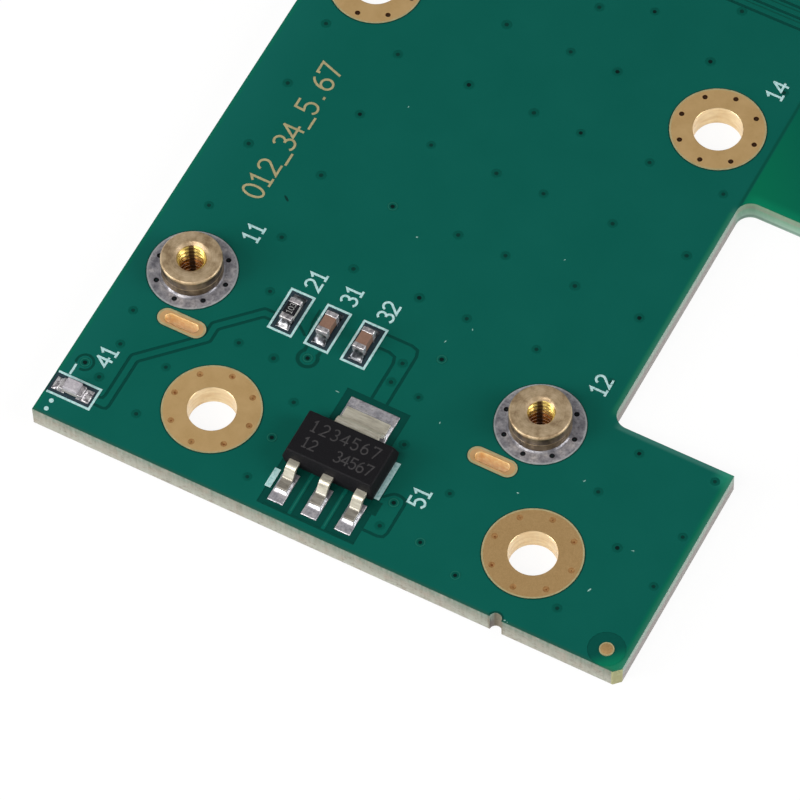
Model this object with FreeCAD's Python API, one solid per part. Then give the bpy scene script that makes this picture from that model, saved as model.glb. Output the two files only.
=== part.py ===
import FreeCAD, Part
import math
import os
from FreeCAD import Vector

# A riser card that holds a mini card flat on two brass posts and plugs it into a x1 slot.
# Sizes are in millimetres. Everything is drawn from the left post's axis, with z = 0 on the
# top face of the board, and leaves with the origin midway between the two posts.

# Board
board_thickness = 1.60
left_margin = 0.87
bottom_margin = 1.90
recess_margin = 0.69
top_margin = 4.40
foot_reach = 8.35
foot_rise = 7.27
foot_chamfer = 0.42
recess_width = 18.13
recess_corner_radius = 1.00
breakoff_radius = 0.40
breakoff_offset = 8.29

# Edge connector
tongue_width = 20.30
tongue_overhang = 4.51
bevel_length = 1.10
bevel_depth = 0.45
key_width = 1.90
key_depth = 8.25
key_to_finger = 1.50
fingers_before_key = 11
fingers_after_key = 7
finger_pitch = 1.00
finger_width = 0.70
finger_length = 3.40
short_finger_cut = 0.60

# Plated holes, each a land on both faces joined by a barrel
post_spacing = 24.20
half_card_distance = 24.15
card_hole_radius = 1.57
post_land_radius = 2.83
half_land_radius = 3.03
bracket_hole_radius = 1.52
bracket_land_radius = 3.10
bracket_left = 5.89
bracket_drop = 8.22
bracket_spacing = 22.05
plating = 0.05
land_thickness = 0.035
land_sides = 20
barrel_sides = 16
filled_hole_sides = 24
ring_via_count = 8
ring_via_radius = 0.175
ring_via_edge = 0.50
ring_via_sides = 6

# Plated oblong slots
slot_land_length = 3.25
slot_land_width = 1.22
slot_rim_end = 0.49
slot_rim_side = 0.29
slot_land_gap = 0.24
left_slot_offset = 1.27
right_slot_offset = 1.37
slot_end_sides = 6

# Threaded posts
post_height = 1.55
post_radius = 1.95
post_edge_chamfer = 0.10
spigot_clearance = 0.05
spigot_end_gap = 0.15
thread_radius = 0.80
thread_mouth_radius = 1.08
thread_mouth_depth = 0.16
fillet_width = 0.32
fillet_height = 0.30

# Chips, all of one footprint
chip_length = 1.60
chip_width = 0.80
chip_row_left = 6.90
chip_row_height = 0.10
chip_pitch = 2.54
terminal_length = 0.30
terminal_wall = 0.03
resistor_height = 0.45
capacitor_height = 0.80
led_x = -2.32
led_y = -10.92
led_base_height = 0.30
led_lens_height = 0.35
led_lens_length = 0.98
led_lens_taper = 0.06
pad_inner_reach = 0.42
pad_outer_reach = 1.28
pad_width = 0.92
chip_solder_height = 0.30
chip_clear_half_length = 1.54
chip_clear_half_width = 0.79

# Voltage regulator
regulator_x = 14.72
regulator_y = -7.85
regulator_length = 6.24
regulator_case_offset = -0.08
regulator_depth = 3.50
regulator_height = 1.60
regulator_lift = 0.08
regulator_draft = 0.22
lead_pitch = 2.30
lead_width = 0.70
lead_thickness = 0.26
lead_span = 7.00
lead_foot = 0.85
lead_bend_radius = 0.38
tab_width = 3.00
lead_pad_width = 1.05
lead_pad_length = 2.30
tab_pad_margin = 0.18
lead_pad_toe = 0.85
lead_solder_height = 0.20
lead_clear_side = 0.50
lead_clear_end = 0.45

# Shallow relief where the copper under the green coat is etched away
relief_depth = 0.025
gap_width = 0.20

# Tracks, each with such a gap on either side
link_track_width = 0.37
link_level = 0.75
link_bend = 5.45
link_middle = 3.19
link_middle_drop = 1.00
link_left = -0.10
link_corner_radius = 0.30
supply_track_width = 0.85
supply_level = 0.76
supply_corner_radius = 0.60
output_loop_reach = 4.78
output_loop_drop = 0.51
output_loop_depth = 3.09
output_loop_slant = 0.55
output_corner_radius = 0.45
tongue_track_count = 4
tongue_track_pitch = 0.75
tongue_track_left = 20.60
tongue_track_low = 33.25

# Fiducial mark
fiducial_from_side = 1.43
fiducial_from_bottom = 1.20
fiducial_radius = 0.46
fiducial_clear_radius = 1.18

# Card socket
card_length = 48.05
card_thickness = 1.00
card_clearance = 0.10
socket_length = 30.00
socket_height = 4.00
socket_slot_length = 25.60
socket_engagement = 4.10
socket_upper_setback = 0.80
socket_rear_wall = 2.40
socket_mouth_chamfer = 0.35
socket_key_width = 1.20
contact_pitch = 0.80
contacts_before_key = 18
contacts_after_key = 8
missing_contact_count = 3
contact_width = 0.30
contact_thickness = 0.15
contact_side_clearance = 0.05
contact_channel_depth = 0.70
contact_foot = 0.80
contact_lift = 0.08
anchor_width = 2.40
anchor_height = 1.60
anchor_foot = 0.50
anchor_thickness = 0.20
anchor_setback = 1.20

# Derived positions
bottom_face = -board_thickness
board_left = -(half_land_radius + left_margin)
board_bottom = -(bracket_drop + bracket_land_radius + bottom_margin)
bracket_right = bracket_left + bracket_spacing
foot_right = bracket_right + foot_reach
foot_top = foot_rise - bracket_drop + bracket_land_radius
recess_wall = post_spacing + half_land_radius + recess_margin
tongue_low = foot_top + recess_width
tongue_high = tongue_low + tongue_width
tongue_tip = foot_right + tongue_overhang
key_centre = (tongue_low + tongue_high + (fingers_before_key - fingers_after_key) * finger_pitch) / 2
slot_drop = post_land_radius + slot_land_gap + slot_land_width / 2
fiducial_x = foot_right - fiducial_from_side
fiducial_y = board_bottom + fiducial_from_bottom
tab_pad_width = tab_width + 2 * tab_pad_margin
socket_centre = post_spacing / 2
socket_slot_end = card_length + card_clearance
socket_front = socket_slot_end - socket_engagement
socket_upper_front = socket_front + socket_upper_setback
socket_back = socket_slot_end + socket_rear_wall
socket_left = socket_centre - socket_length / 2
socket_right = socket_centre + socket_length / 2
slot_floor = post_height - card_clearance
slot_roof = post_height + card_thickness + card_clearance
contact_crest = socket_slot_end - socket_engagement / 3
contact_steps = contacts_before_key + missing_contact_count + contacts_after_key
board_top = socket_back + contact_foot + top_margin


# Drawing helpers

def disc(x, y, radius, low, high):
    return Part.makeCylinder(radius, high - low, Vector(x, y, low))


def block(x_low, x_high, y_low, y_high, z_low, z_high):
    return Part.makeBox(x_high - x_low, y_high - y_low, z_high - z_low, Vector(x_low, y_low, z_low))


def rounded_prism(corners, low, high):
    """An upright solid whose outline runs through the corners, each one (x, y, radius)."""
    rounds = []
    for index, (x, y, radius) in enumerate(corners):
        here = Vector(x, y, low)
        if radius == 0:
            rounds.append((here, None, here))
            continue
        before = corners[index - 1]
        after = corners[(index + 1) % len(corners)]
        back = (Vector(before[0], before[1], low) - here).normalize()
        ahead = (Vector(after[0], after[1], low) - here).normalize()
        half_angle = back.getAngle(ahead) / 2
        reach = radius / math.tan(half_angle)
        inward = (back + ahead).normalize()
        middle = here + inward * (radius / math.sin(half_angle) - radius)
        rounds.append((here + back * reach, middle, here + ahead * reach))
    edges = []
    for index, (start, middle, end) in enumerate(rounds):
        if middle is not None:
            edges.append(Part.Arc(start, middle, end).toShape())
        following = rounds[(index + 1) % len(rounds)][0]
        if end.distanceToPoint(following) > 1e-6:
            edges.append(Part.makeLine(end, following))
    return Part.Face(Part.Wire(edges)).extrude(Vector(0, 0, high - low))


def prism(points, low, high):
    """An upright solid with a straight-sided outline."""
    corners = [Vector(x, y, low) for x, y in points]
    return Part.Face(Part.makePolygon(corners + corners[:1])).extrude(Vector(0, 0, high - low))


def many_sided(x, y, radius, sides, low, high):
    """A round too small or too often repeated to be worth a true circle."""
    step = 2 * math.pi / sides
    points = [(x + radius * math.cos(n * step), y + radius * math.sin(n * step)) for n in range(sides)]
    return prism(points, low, high)


def oblong(x, y, length, width, low, high):
    """A rounded bar along x, its ends drawn with straight sides."""
    straight = (length - width) / 2
    points = []
    for end in (1, -1):
        for n in range(slot_end_sides + 1):
            angle = math.pi * (n / slot_end_sides - 0.5)
            along = straight + width / 2 * math.cos(angle)
            points.append((x + end * along, y + end * width / 2 * math.sin(angle)))
    return prism(points, low, high)


def along_x(profile, x_low, x_high):
    """A (y, z) profile pulled along x."""
    shape = prism(profile, 0, x_high - x_low)
    shape.rotate(Vector(0, 0, 0), Vector(1, 1, 1), 120)
    shape.translate(Vector(x_low, 0, 0))
    return shape


def revolved(profile, x, y):
    """A (radius, z) profile turned about the upright axis at (x, y)."""
    points = [Vector(radius, 0, z) for radius, z in profile]
    shape = Part.Face(Part.makePolygon(points + points[:1])).revolve(Vector(0, 0, 0), Vector(0, 0, 1), 360)
    shape.translate(Vector(x, y, 0))
    return shape


def offset_path(path, distance):
    """The path moved sideways to its left, with mitred corners."""
    moved = []
    for index, (x, y) in enumerate(path):
        normals = []
        for first, second in ((index - 1, index), (index, index + 1)):
            if first < 0 or second == len(path):
                continue
            along = Vector(path[second][0] - path[first][0], path[second][1] - path[first][1], 0).normalize()
            normals.append(Vector(-along.y, along.x, 0))
        total = normals[0] + normals[-1]
        shift = total * (2 * distance / total.dot(total))
        moved.append((x + shift.x, y + shift.y))
    return moved


def band(path, width):
    """The outline of a band of one width that follows a path."""
    return offset_path(path, width / 2) + offset_path(path, -width / 2)[::-1]


def eased(path, radius):
    """The path with each corner cut by two short straights."""
    points = [path[0]]
    for before, here, after in zip(path, path[1:], path[2:]):
        corner = Vector(here[0], here[1], 0)
        back = (Vector(before[0], before[1], 0) - corner).normalize()
        ahead = (Vector(after[0], after[1], 0) - corner).normalize()
        reach = radius / math.tan(back.getAngle(ahead) / 2)
        start = corner + back * reach
        end = corner + ahead * reach
        middle = (start + corner * 2 + end) * 0.25
        points += [(point.x, point.y) for point in (start, middle, end)]
    return points + [path[-1]]


def placed(shape, x, y, z, angle):
    """The shape turned about its upright axis and set down at a place."""
    shape.rotate(Vector(0, 0, 0), Vector(0, 0, 1), angle)
    shape.translate(Vector(x, y, z))
    return shape


# Places of what repeats

def post_holes():
    """Name, x, y, hole radius and land radius of each plated hole that a post fills."""
    return [
        ("land_post_left", 0, 0, card_hole_radius, post_land_radius),
        ("land_post_right", post_spacing, 0, card_hole_radius, post_land_radius),
    ]


def open_holes():
    """Name, x, y, hole radius and land radius of each hole that stays open."""
    return [
        ("land_half_left", 0, half_card_distance, card_hole_radius, half_land_radius),
        ("land_half_right", post_spacing, half_card_distance, card_hole_radius, half_land_radius),
        ("land_bracket_left", bracket_left, -bracket_drop, bracket_hole_radius, bracket_land_radius),
        ("land_bracket_right", bracket_right, -bracket_drop, bracket_hole_radius, bracket_land_radius),
    ]


def plated_slots():
    """Name, x and y of each plated slot."""
    return [
        ("slot_liner_left", left_slot_offset, -slot_drop),
        ("slot_liner_right", post_spacing - right_slot_offset, -slot_drop),
    ]


def chip_places():
    """Name, x, y and turn of each chip."""
    return [
        ("resistor", chip_row_left, chip_row_height, 90),
        ("capacitor_left", chip_row_left + chip_pitch, chip_row_height, 90),
        ("capacitor_right", chip_row_left + 2 * chip_pitch, chip_row_height, 90),
        ("led", led_x, led_y, 0),
    ]


def lead_places():
    return [regulator_x + step * lead_pitch for step in (-1, 0, 1)]


def finger_places():
    """The middle of each finger along y, from the bracket's end."""
    before = [key_centre - key_to_finger - step * finger_pitch for step in range(fingers_before_key)]
    after = [key_centre + key_to_finger + step * finger_pitch for step in range(fingers_after_key)]
    return before[::-1] + after


def contact_places(shift):
    """The middle of each contact of one row along x."""
    start = socket_centre - (contact_steps - 1) * contact_pitch / 2 + shift
    steps = [step for step in range(contact_steps)
             if not contacts_before_key <= step < contacts_before_key + missing_contact_count]
    return [start + step * contact_pitch for step in steps]


# Board

def board():
    """The routed laminate with its holes, the tongue with its key and bevels, and the shallow relief."""
    outline = [
        (board_left, board_bottom, 0),
        (foot_right - foot_chamfer, board_bottom, 0),
        (foot_right, board_bottom + foot_chamfer, 0),
        (foot_right, foot_top, 0),
        (recess_wall, foot_top, recess_corner_radius),
        (recess_wall, tongue_low, recess_corner_radius),
        (tongue_tip, tongue_low, 0),
        (tongue_tip, tongue_high, 0),
        (recess_wall, tongue_high, recess_corner_radius),
        (recess_wall, board_top, 0),
        (board_left, board_top, 0),
    ]
    cutters = [key_slot(), bevel(0, -bevel_depth), bevel(bottom_face, bevel_depth)]
    mark_x = foot_right - breakoff_offset
    cutters.append(many_sided(mark_x, board_bottom, breakoff_radius, land_sides, bottom_face, 0))
    for name, x, y, hole, land in post_holes() + open_holes():
        cutters.append(many_sided(x, y, hole + plating, barrel_sides, bottom_face, 0))
    for name, x, y in plated_slots():
        cutters.append(slot_opening(x, y, plating, bottom_face, 0))
    drilled = rounded_prism(outline, bottom_face, 0).cut(cutters)
    return drilled.cut(copper_gaps() + clear_areas())


def key_slot():
    """The open-ended slot in the tongue, round at its inner end."""
    side = key_width / 2
    inner = tongue_tip - key_depth
    corners = [(inner, key_centre - side, side), (tongue_tip, key_centre - side, 0),
               (tongue_tip, key_centre + side, 0), (inner, key_centre + side, side)]
    return rounded_prism(corners, bottom_face, 0)


def bevel(face, slope):
    """The wedge taken off one face of the tongue's tip."""
    corners = [Vector(tongue_tip - bevel_length, tongue_low, face), Vector(tongue_tip, tongue_low, face),
               Vector(tongue_tip, tongue_low, face + slope)]
    return Part.Face(Part.makePolygon(corners + corners[:1])).extrude(Vector(0, tongue_width, 0))


def copper_gaps():
    """The narrow gaps on both sides of the tracks that leave the chips and the tongue."""
    paths = [output_loop()]
    tracks = [
        (link_track(), link_track_width, link_corner_radius),
        (supply_track(), supply_track_width, supply_corner_radius),
    ]
    for corners, width, radius in tracks:
        shift = (width + gap_width) / 2
        paths += [eased(offset_path(corners, side * shift), radius) for side in (1, -1)]
    for step in range(tongue_track_count):
        y = tongue_track_low + step * tongue_track_pitch
        paths.append([(tongue_track_left, y), (tongue_tip - key_depth, y)])
    return [prism(band(path, gap_width), -relief_depth, 0) for path in paths]


def link_track():
    """From the resistor to the indicator, with two slanting runs."""
    level = chip_row_height - link_level
    first_drop = link_bend - link_middle
    second_drop = link_middle - link_left
    middle_low = level - first_drop - link_middle_drop
    return [
        (chip_row_left - chip_clear_half_width, level),
        (link_bend, level),
        (link_middle, level - first_drop),
        (link_middle, middle_low),
        (link_left, middle_low - second_drop),
        (link_left, led_y),
        (led_x + chip_clear_half_length, led_y),
    ]


def supply_track():
    """From the right capacitor round to the regulator's tab."""
    level = chip_row_height + supply_level
    side = chip_row_left + 2 * chip_pitch + chip_clear_half_width
    return [(side, level), (regulator_x, level), (regulator_x, tab_clear_reach())]


def output_loop():
    """Round the copper that leaves the regulator's last lead, back to its pad."""
    start = regulator_x + lead_pitch + lead_pad_width / 2 + lead_clear_side
    end = regulator_x + output_loop_reach
    top = regulator_y - output_loop_drop
    low = top - output_loop_depth
    return eased([(start, top - output_loop_slant), (start + output_loop_slant, top), (end, top),
                  (end, low), (start, low)], output_corner_radius)


def tab_clear_reach():
    return regulator_y + lead_span / 2 + lead_pad_toe + lead_clear_end


def clear_areas():
    """Bare laminate around the pads and the fiducial mark."""
    areas = []
    for name, x, y, angle in chip_places():
        area = block(-chip_clear_half_length, chip_clear_half_length,
                     -chip_clear_half_width, chip_clear_half_width, -relief_depth, 0)
        areas.append(placed(area, x, y, 0, angle))
    areas.append(block(board_left, led_x, led_y - chip_clear_half_width, led_y + chip_clear_half_width,
                       -relief_depth, 0))
    side = lead_pad_width / 2 + lead_clear_side
    foot = regulator_y - lead_span / 2 - lead_pad_toe - lead_clear_end
    for x in lead_places():
        areas.append(block(x - side, x + side, foot, regulator_y, -relief_depth, 0))
    side = tab_pad_width / 2 + lead_clear_side
    areas.append(block(regulator_x - side, regulator_x + side,
                       regulator_y, tab_clear_reach(), -relief_depth, 0))
    areas.append(many_sided(fiducial_x, fiducial_y, fiducial_clear_radius, land_sides, -relief_depth, 0))
    return areas


def plated_hole(x, y, hole, land, opening):
    """Both lands and the barrel between them, with the ring of small holes in the upper land."""
    upper = many_sided(x, y, land, land_sides, 0, land_thickness)
    barrel = many_sided(x, y, hole + plating, barrel_sides, bottom_face, 0)
    lower = many_sided(x, y, land, land_sides, bottom_face - land_thickness, bottom_face)
    cutters = [opening]
    for step in range(ring_via_count):
        angle = 2 * math.pi * step / ring_via_count
        ring = land - ring_via_edge
        cutters.append(many_sided(x + ring * math.cos(angle), y + ring * math.sin(angle), ring_via_radius,
                                  ring_via_sides, 0, land_thickness))
    return upper.fuse([barrel, lower]).cut(cutters)


def slot_opening(x, y, extra, low, high):
    """The oblong hole, widened all round by extra."""
    length = slot_land_length - 2 * slot_rim_end + 2 * extra
    width = slot_land_width - 2 * slot_rim_side + 2 * extra
    return oblong(x, y, length, width, low, high)


def slot_liner(x, y):
    upper = oblong(x, y, slot_land_length, slot_land_width, 0, land_thickness)
    barrel = slot_opening(x, y, plating, bottom_face, 0)
    lower = oblong(x, y, slot_land_length, slot_land_width, bottom_face - land_thickness, bottom_face)
    hole = slot_opening(x, y, 0, bottom_face - land_thickness, land_thickness)
    return upper.fuse([barrel, lower]).cut(hole)


def edge_fingers(low, high, short_index):
    """The contact fingers on one face of the tongue, one of them short so that it mates last."""
    outer = tongue_tip - bevel_length
    side = finger_width / 2
    fingers = []
    for index, y in enumerate(finger_places()):
        end = outer - short_finger_cut if index == short_index else outer
        fingers.append(block(outer - finger_length, end, y - side, y + side, low, high))
    return Part.makeCompound(fingers)


# Threaded posts

def threaded_post(x):
    """A brass post standing on its land, with a spigot in the plated hole."""
    spigot = card_hole_radius - spigot_clearance
    foot = bottom_face + spigot_end_gap
    profile = [
        (thread_radius, foot), (spigot, foot), (spigot, land_thickness), (post_radius, land_thickness),
        (post_radius, post_height - post_edge_chamfer), (post_radius - post_edge_chamfer, post_height),
        (thread_mouth_radius, post_height), (thread_radius, post_height - thread_mouth_depth),
    ]
    return revolved(profile, x, 0)


def post_solder(x):
    """The solder drawn up round the foot of a post."""
    profile = [(post_radius, land_thickness), (post_radius + fillet_width, land_thickness),
               (post_radius, land_thickness + fillet_height)]
    return revolved(profile, x, 0)


# Chips, drawn lengthwise along x about their middle, from the top of their pads up

def chip_solder():
    """Both pads, with solder drawn up the chip's ends."""
    side = chip_width / 2
    joints = []
    for turn in (0, 180):
        pad = block(pad_inner_reach, pad_outer_reach, -pad_width / 2, pad_width / 2,
                    -land_thickness - relief_depth, 0)
        corners = [Vector(chip_length / 2, -side, 0), Vector(pad_outer_reach, -side, 0),
                   Vector(chip_length / 2, -side, chip_solder_height)]
        wedge = Part.Face(Part.makePolygon(corners + corners[:1])).extrude(Vector(0, chip_width, 0))
        joints.append(placed(pad.fuse(wedge), 0, 0, 0, turn))
    return Part.makeCompound(joints)


def chip_terminals(core, height):
    """The metal ends wrapped round a chip's core."""
    side = chip_width / 2
    ends = []
    for turn in (0, 180):
        end = block(chip_length / 2 - terminal_length, chip_length / 2, -side, side, 0, height)
        ends.append(placed(end, 0, 0, 0, turn).cut(core))
    return Part.makeCompound(ends)


def resistor():
    length = chip_length / 2 - terminal_wall
    side = chip_width / 2
    top = resistor_height - terminal_wall
    core = block(-length, length, -side, side, terminal_wall, top)
    glaze_end = chip_length / 2 - terminal_length
    glaze = block(-glaze_end, glaze_end, -side, side, top, resistor_height)
    return {"core": core, "glaze": glaze, "terminals": chip_terminals(core, resistor_height)}


def capacitor():
    length = chip_length / 2 - terminal_wall
    side = chip_width / 2 - terminal_wall
    core = block(-length, length, -side, side, terminal_wall, capacitor_height - terminal_wall)
    return {"core": core, "terminals": chip_terminals(core, capacitor_height)}


def light():
    """The indicator: a flat base with wrapped ends and a tapered clear lens."""
    length = chip_length / 2 - terminal_wall
    side = chip_width / 2
    base = block(-length, length, -side, side, terminal_wall, led_base_height - terminal_wall)
    inner = chip_length / 2 - terminal_length
    base = base.fuse(block(-inner, inner, -side, side, led_base_height - terminal_wall, led_base_height))
    top = led_base_height + led_lens_height
    sections = []
    for inset, z in ((0, led_base_height), (led_lens_taper, top)):
        x = led_lens_length / 2 - inset
        y = side - inset
        corners = [Vector(-x, -y, z), Vector(x, -y, z), Vector(x, y, z), Vector(-x, y, z)]
        sections.append(Part.makePolygon(corners + corners[:1]))
    lens = Part.makeLoft(sections, True)
    return {"base": base, "lens": lens, "terminals": chip_terminals(base, led_base_height)}


def chips():
    """Every chip's pieces, set down on their pads."""
    makers = {"resistor": resistor, "capacitor_left": capacitor, "capacitor_right": capacitor, "led": light}
    pieces = {}
    for name, x, y, angle in chip_places():
        parts = makers[name]()
        parts["solder"] = chip_solder()
        for part, shape in parts.items():
            pieces[name + "_" + part] = placed(shape, x, y, land_thickness, angle)
    return pieces


# Voltage regulator

def regulator_section(inset, z):
    side = regulator_length / 2 - inset
    end = regulator_depth / 2 - inset
    corners = [Vector(regulator_x + regulator_case_offset + x * side, regulator_y + y * end, z)
               for x, y in ((-1, -1), (1, -1), (1, 1), (-1, 1))]
    return Part.makePolygon(corners + corners[:1])


def regulator_middle():
    return (regulator_lift + regulator_height) / 2


def regulator_body():
    """The moulded case, drafted both ways from the line where its halves met."""
    middle = regulator_middle()
    base = regulator_section(regulator_draft / 2, regulator_lift)
    belt = regulator_section(0, middle)
    crown = regulator_section(regulator_draft, regulator_height)
    return Part.makeLoft([base, belt], True).fuse(Part.makeLoft([belt, crown], True))


def gull_wing(x, width, side):
    """A lead bent down from the case to its pad, at the front (-1) or the back (+1)."""
    middle = regulator_middle()
    low = land_thickness + lead_thickness / 2
    face = regulator_y + side * regulator_depth / 2
    toe = regulator_y + side * lead_span / 2
    ankle = toe - side * lead_foot
    knee = (face + ankle) / 2
    path = eased([(face, middle), (knee, middle), (ankle, low), (toe, low)], lead_bend_radius)
    lead = along_x(band(path, lead_thickness), x - width / 2, x + width / 2)
    return lead.cut(regulator_body())


def regulator_solder():
    """The four pads, with solder drawn up the toes of the leads and the tab."""
    joints = []
    places = [(x, lead_width, lead_pad_width, -1) for x in lead_places()]
    places.append((regulator_x, tab_width, tab_pad_width, 1))
    for x, width, pad_width_here, side in places:
        toe = regulator_y + side * lead_span / 2
        end = toe + side * lead_pad_toe
        inner = end - side * lead_pad_length
        pad = block(x - pad_width_here / 2, x + pad_width_here / 2, min(end, inner), max(end, inner),
                    -relief_depth, land_thickness)
        profile = [(toe, land_thickness), (end, land_thickness), (toe, land_thickness + lead_solder_height)]
        joints.append(pad.fuse(along_x(profile, x - width / 2, x + width / 2)))
    return Part.makeCompound(joints)


# Card socket

def socket_housing():
    """The moulded housing: the slot with its lead-in, a channel for each contact, and the key."""
    chamfer = socket_mouth_chamfer
    outside = [
        (socket_front, 0),
        (socket_back, 0),
        (socket_back, socket_height),
        (socket_upper_front, socket_height),
        (socket_upper_front, slot_roof),
        (socket_front, slot_floor),
    ]
    slot = [
        (socket_front, slot_floor - chamfer),
        (socket_front + chamfer, slot_floor),
        (socket_slot_end, slot_floor),
        (socket_slot_end, slot_roof),
        (socket_upper_front + chamfer, slot_roof),
        (socket_upper_front, slot_roof + chamfer),
        (socket_front, slot_roof + chamfer),
    ]
    half_slot = socket_slot_length / 2
    cutters = [along_x(slot, socket_centre - half_slot, socket_centre + half_slot)]
    side = contact_width / 2 + contact_side_clearance
    for x in contact_places(-contact_pitch / 4):
        cutters.append(block(x - side, x + side, socket_front, socket_slot_end - card_clearance,
                             slot_floor - contact_channel_depth, slot_floor))
    for x in contact_places(contact_pitch / 4):
        cutters.append(block(x - side, x + side, socket_upper_front, socket_back,
                             slot_roof, slot_roof + contact_channel_depth))
    key_x = socket_centre + (contacts_before_key - contacts_after_key) * contact_pitch / 2
    key = block(key_x - socket_key_width / 2, key_x + socket_key_width / 2, socket_upper_front + chamfer,
                socket_slot_end, slot_floor, slot_roof)
    return along_x(outside, socket_left, socket_right).cut(cutters).fuse(key).removeSplitter()


def lower_contact(x):
    """Foot on the board in front, up the mouth and back to a sprung crest under the card."""
    low = contact_thickness / 2
    wall = socket_front - contact_thickness / 2
    seat = slot_floor - contact_channel_depth + contact_thickness
    crest = slot_floor + contact_lift
    path = [(socket_front - contact_foot, low), (wall, low), (wall, seat), (contact_crest, crest)]
    return along_x(band(path, contact_thickness), x - contact_width / 2, x + contact_width / 2)


def upper_contact(x):
    """Foot on the board behind, up the back wall, through it and down to a crest over the card."""
    low = contact_thickness / 2
    wall = socket_back + contact_thickness / 2
    seat = slot_roof + contact_channel_depth - contact_thickness
    crest = slot_roof - contact_lift
    path = [(socket_back + contact_foot, low), (wall, low), (wall, seat), (contact_crest, crest)]
    return along_x(band(path, contact_thickness), x - contact_width / 2, x + contact_width / 2)


def contact_row(maker, shift):
    return Part.makeCompound([maker(x) for x in contact_places(shift)])


def socket_anchor(face, side):
    """The soldered metal ear on one end of the housing, at the left (-1) or the right (+1)."""
    low = anchor_thickness / 2
    wall = face + side * low
    path = [(wall + side * anchor_foot, low), (wall, low), (wall, anchor_height)]
    ear = along_x(band(path, anchor_thickness), -anchor_width / 2, anchor_width / 2)
    return placed(ear, 0, socket_front + anchor_setback + anchor_width / 2, 0, -90)


# Assembly

def build_all():
    pieces = {"board": board()}
    low = bottom_face - land_thickness
    for name, x, y, hole, land in post_holes():
        opening = many_sided(x, y, hole, filled_hole_sides, low, land_thickness)
        pieces[name] = plated_hole(x, y, hole, land, opening)
    for name, x, y, hole, land in open_holes():
        pieces[name] = plated_hole(x, y, hole, land, disc(x, y, hole, low, land_thickness))
    for name, x, y in plated_slots():
        pieces[name] = slot_liner(x, y)
    last_but_one = fingers_before_key + fingers_after_key - 2
    pieces["edge_fingers_top"] = edge_fingers(0, land_thickness, last_but_one)
    pieces["edge_fingers_bottom"] = edge_fingers(low, bottom_face, 0)
    pieces["fiducial_dot"] = many_sided(fiducial_x, fiducial_y, fiducial_radius, land_sides,
                                        -relief_depth, land_thickness)
    for side, x in (("left", 0), ("right", post_spacing)):
        pieces["post_" + side] = threaded_post(x)
        pieces["post_solder_" + side] = post_solder(x)
    pieces.update(chips())
    pieces["regulator_body"] = regulator_body()
    pieces["regulator_tab"] = gull_wing(regulator_x, tab_width, 1)
    for number, x in enumerate(lead_places(), 1):
        pieces["regulator_lead_%d" % number] = gull_wing(x, lead_width, -1)
    pieces["regulator_solder"] = regulator_solder()
    pieces["socket_housing"] = socket_housing()
    pieces["socket_contacts_lower"] = contact_row(lower_contact, -contact_pitch / 4)
    pieces["socket_contacts_upper"] = contact_row(upper_contact, contact_pitch / 4)
    pieces["socket_anchor_left"] = socket_anchor(socket_left, -1)
    pieces["socket_anchor_right"] = socket_anchor(socket_right, 1)
    return pieces


os.makedirs("parts", exist_ok=True)
for node, shape in build_all().items():
    shape.translate(Vector(-post_spacing / 2, 0, 0))
    shape.exportStep("parts/" + node + ".step")
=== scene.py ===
import bpy
import bmesh
import math
import random
from mathutils import Matrix, Vector, noise


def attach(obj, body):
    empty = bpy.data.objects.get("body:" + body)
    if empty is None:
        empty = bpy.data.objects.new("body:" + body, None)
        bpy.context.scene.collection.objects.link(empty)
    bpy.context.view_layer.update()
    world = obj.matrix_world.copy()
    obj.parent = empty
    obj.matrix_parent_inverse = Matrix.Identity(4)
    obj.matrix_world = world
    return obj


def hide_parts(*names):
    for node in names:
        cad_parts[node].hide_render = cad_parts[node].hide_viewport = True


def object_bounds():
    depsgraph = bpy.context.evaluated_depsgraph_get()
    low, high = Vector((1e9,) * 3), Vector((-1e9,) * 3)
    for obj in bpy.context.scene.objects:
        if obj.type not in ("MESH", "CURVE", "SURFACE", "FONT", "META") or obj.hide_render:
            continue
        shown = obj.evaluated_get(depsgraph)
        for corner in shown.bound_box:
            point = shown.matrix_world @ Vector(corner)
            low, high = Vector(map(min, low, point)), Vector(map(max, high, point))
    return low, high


# Places are in millimetres from the left post's axis, with z = 0 on the top face of the board.
# The frame's origin lies midway between the posts, which place() accounts for.

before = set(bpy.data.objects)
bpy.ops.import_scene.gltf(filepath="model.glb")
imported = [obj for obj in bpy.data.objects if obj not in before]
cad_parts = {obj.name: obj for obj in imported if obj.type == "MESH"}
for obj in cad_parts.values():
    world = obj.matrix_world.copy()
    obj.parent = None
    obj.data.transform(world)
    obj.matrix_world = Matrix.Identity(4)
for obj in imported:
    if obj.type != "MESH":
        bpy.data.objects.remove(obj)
cad_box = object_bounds()
random.seed(7)

MM = 0.001

# Points nearer than this many metres are one, a face this upright stays flat, and bevels start at this angle.
SAME_POINT = 1e-8
LEVEL_FACE = 0.9999
BEVELLED_FROM = 30

POSTS_APART = 24.20
BOARD_BOTTOM = -1.60
LAND = 0.035
RELIEF = -0.025

# The heights between which thin layers lie: rims of lands, gaps in the copper, bare ground, lines and print.
RIM = (LAND - 0.012, LAND + 0.002)
GAP = (-0.001, 0.004)
GROUND = (RELIEF, RELIEF + 0.004)
THIN = (0.001, 0.004)
INK = (0.0, 0.014)
LINE = 0.15
GLYPH_HEIGHT = 1.5
PAD_SLOPE = 0.03
FILM = 0.006

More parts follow.
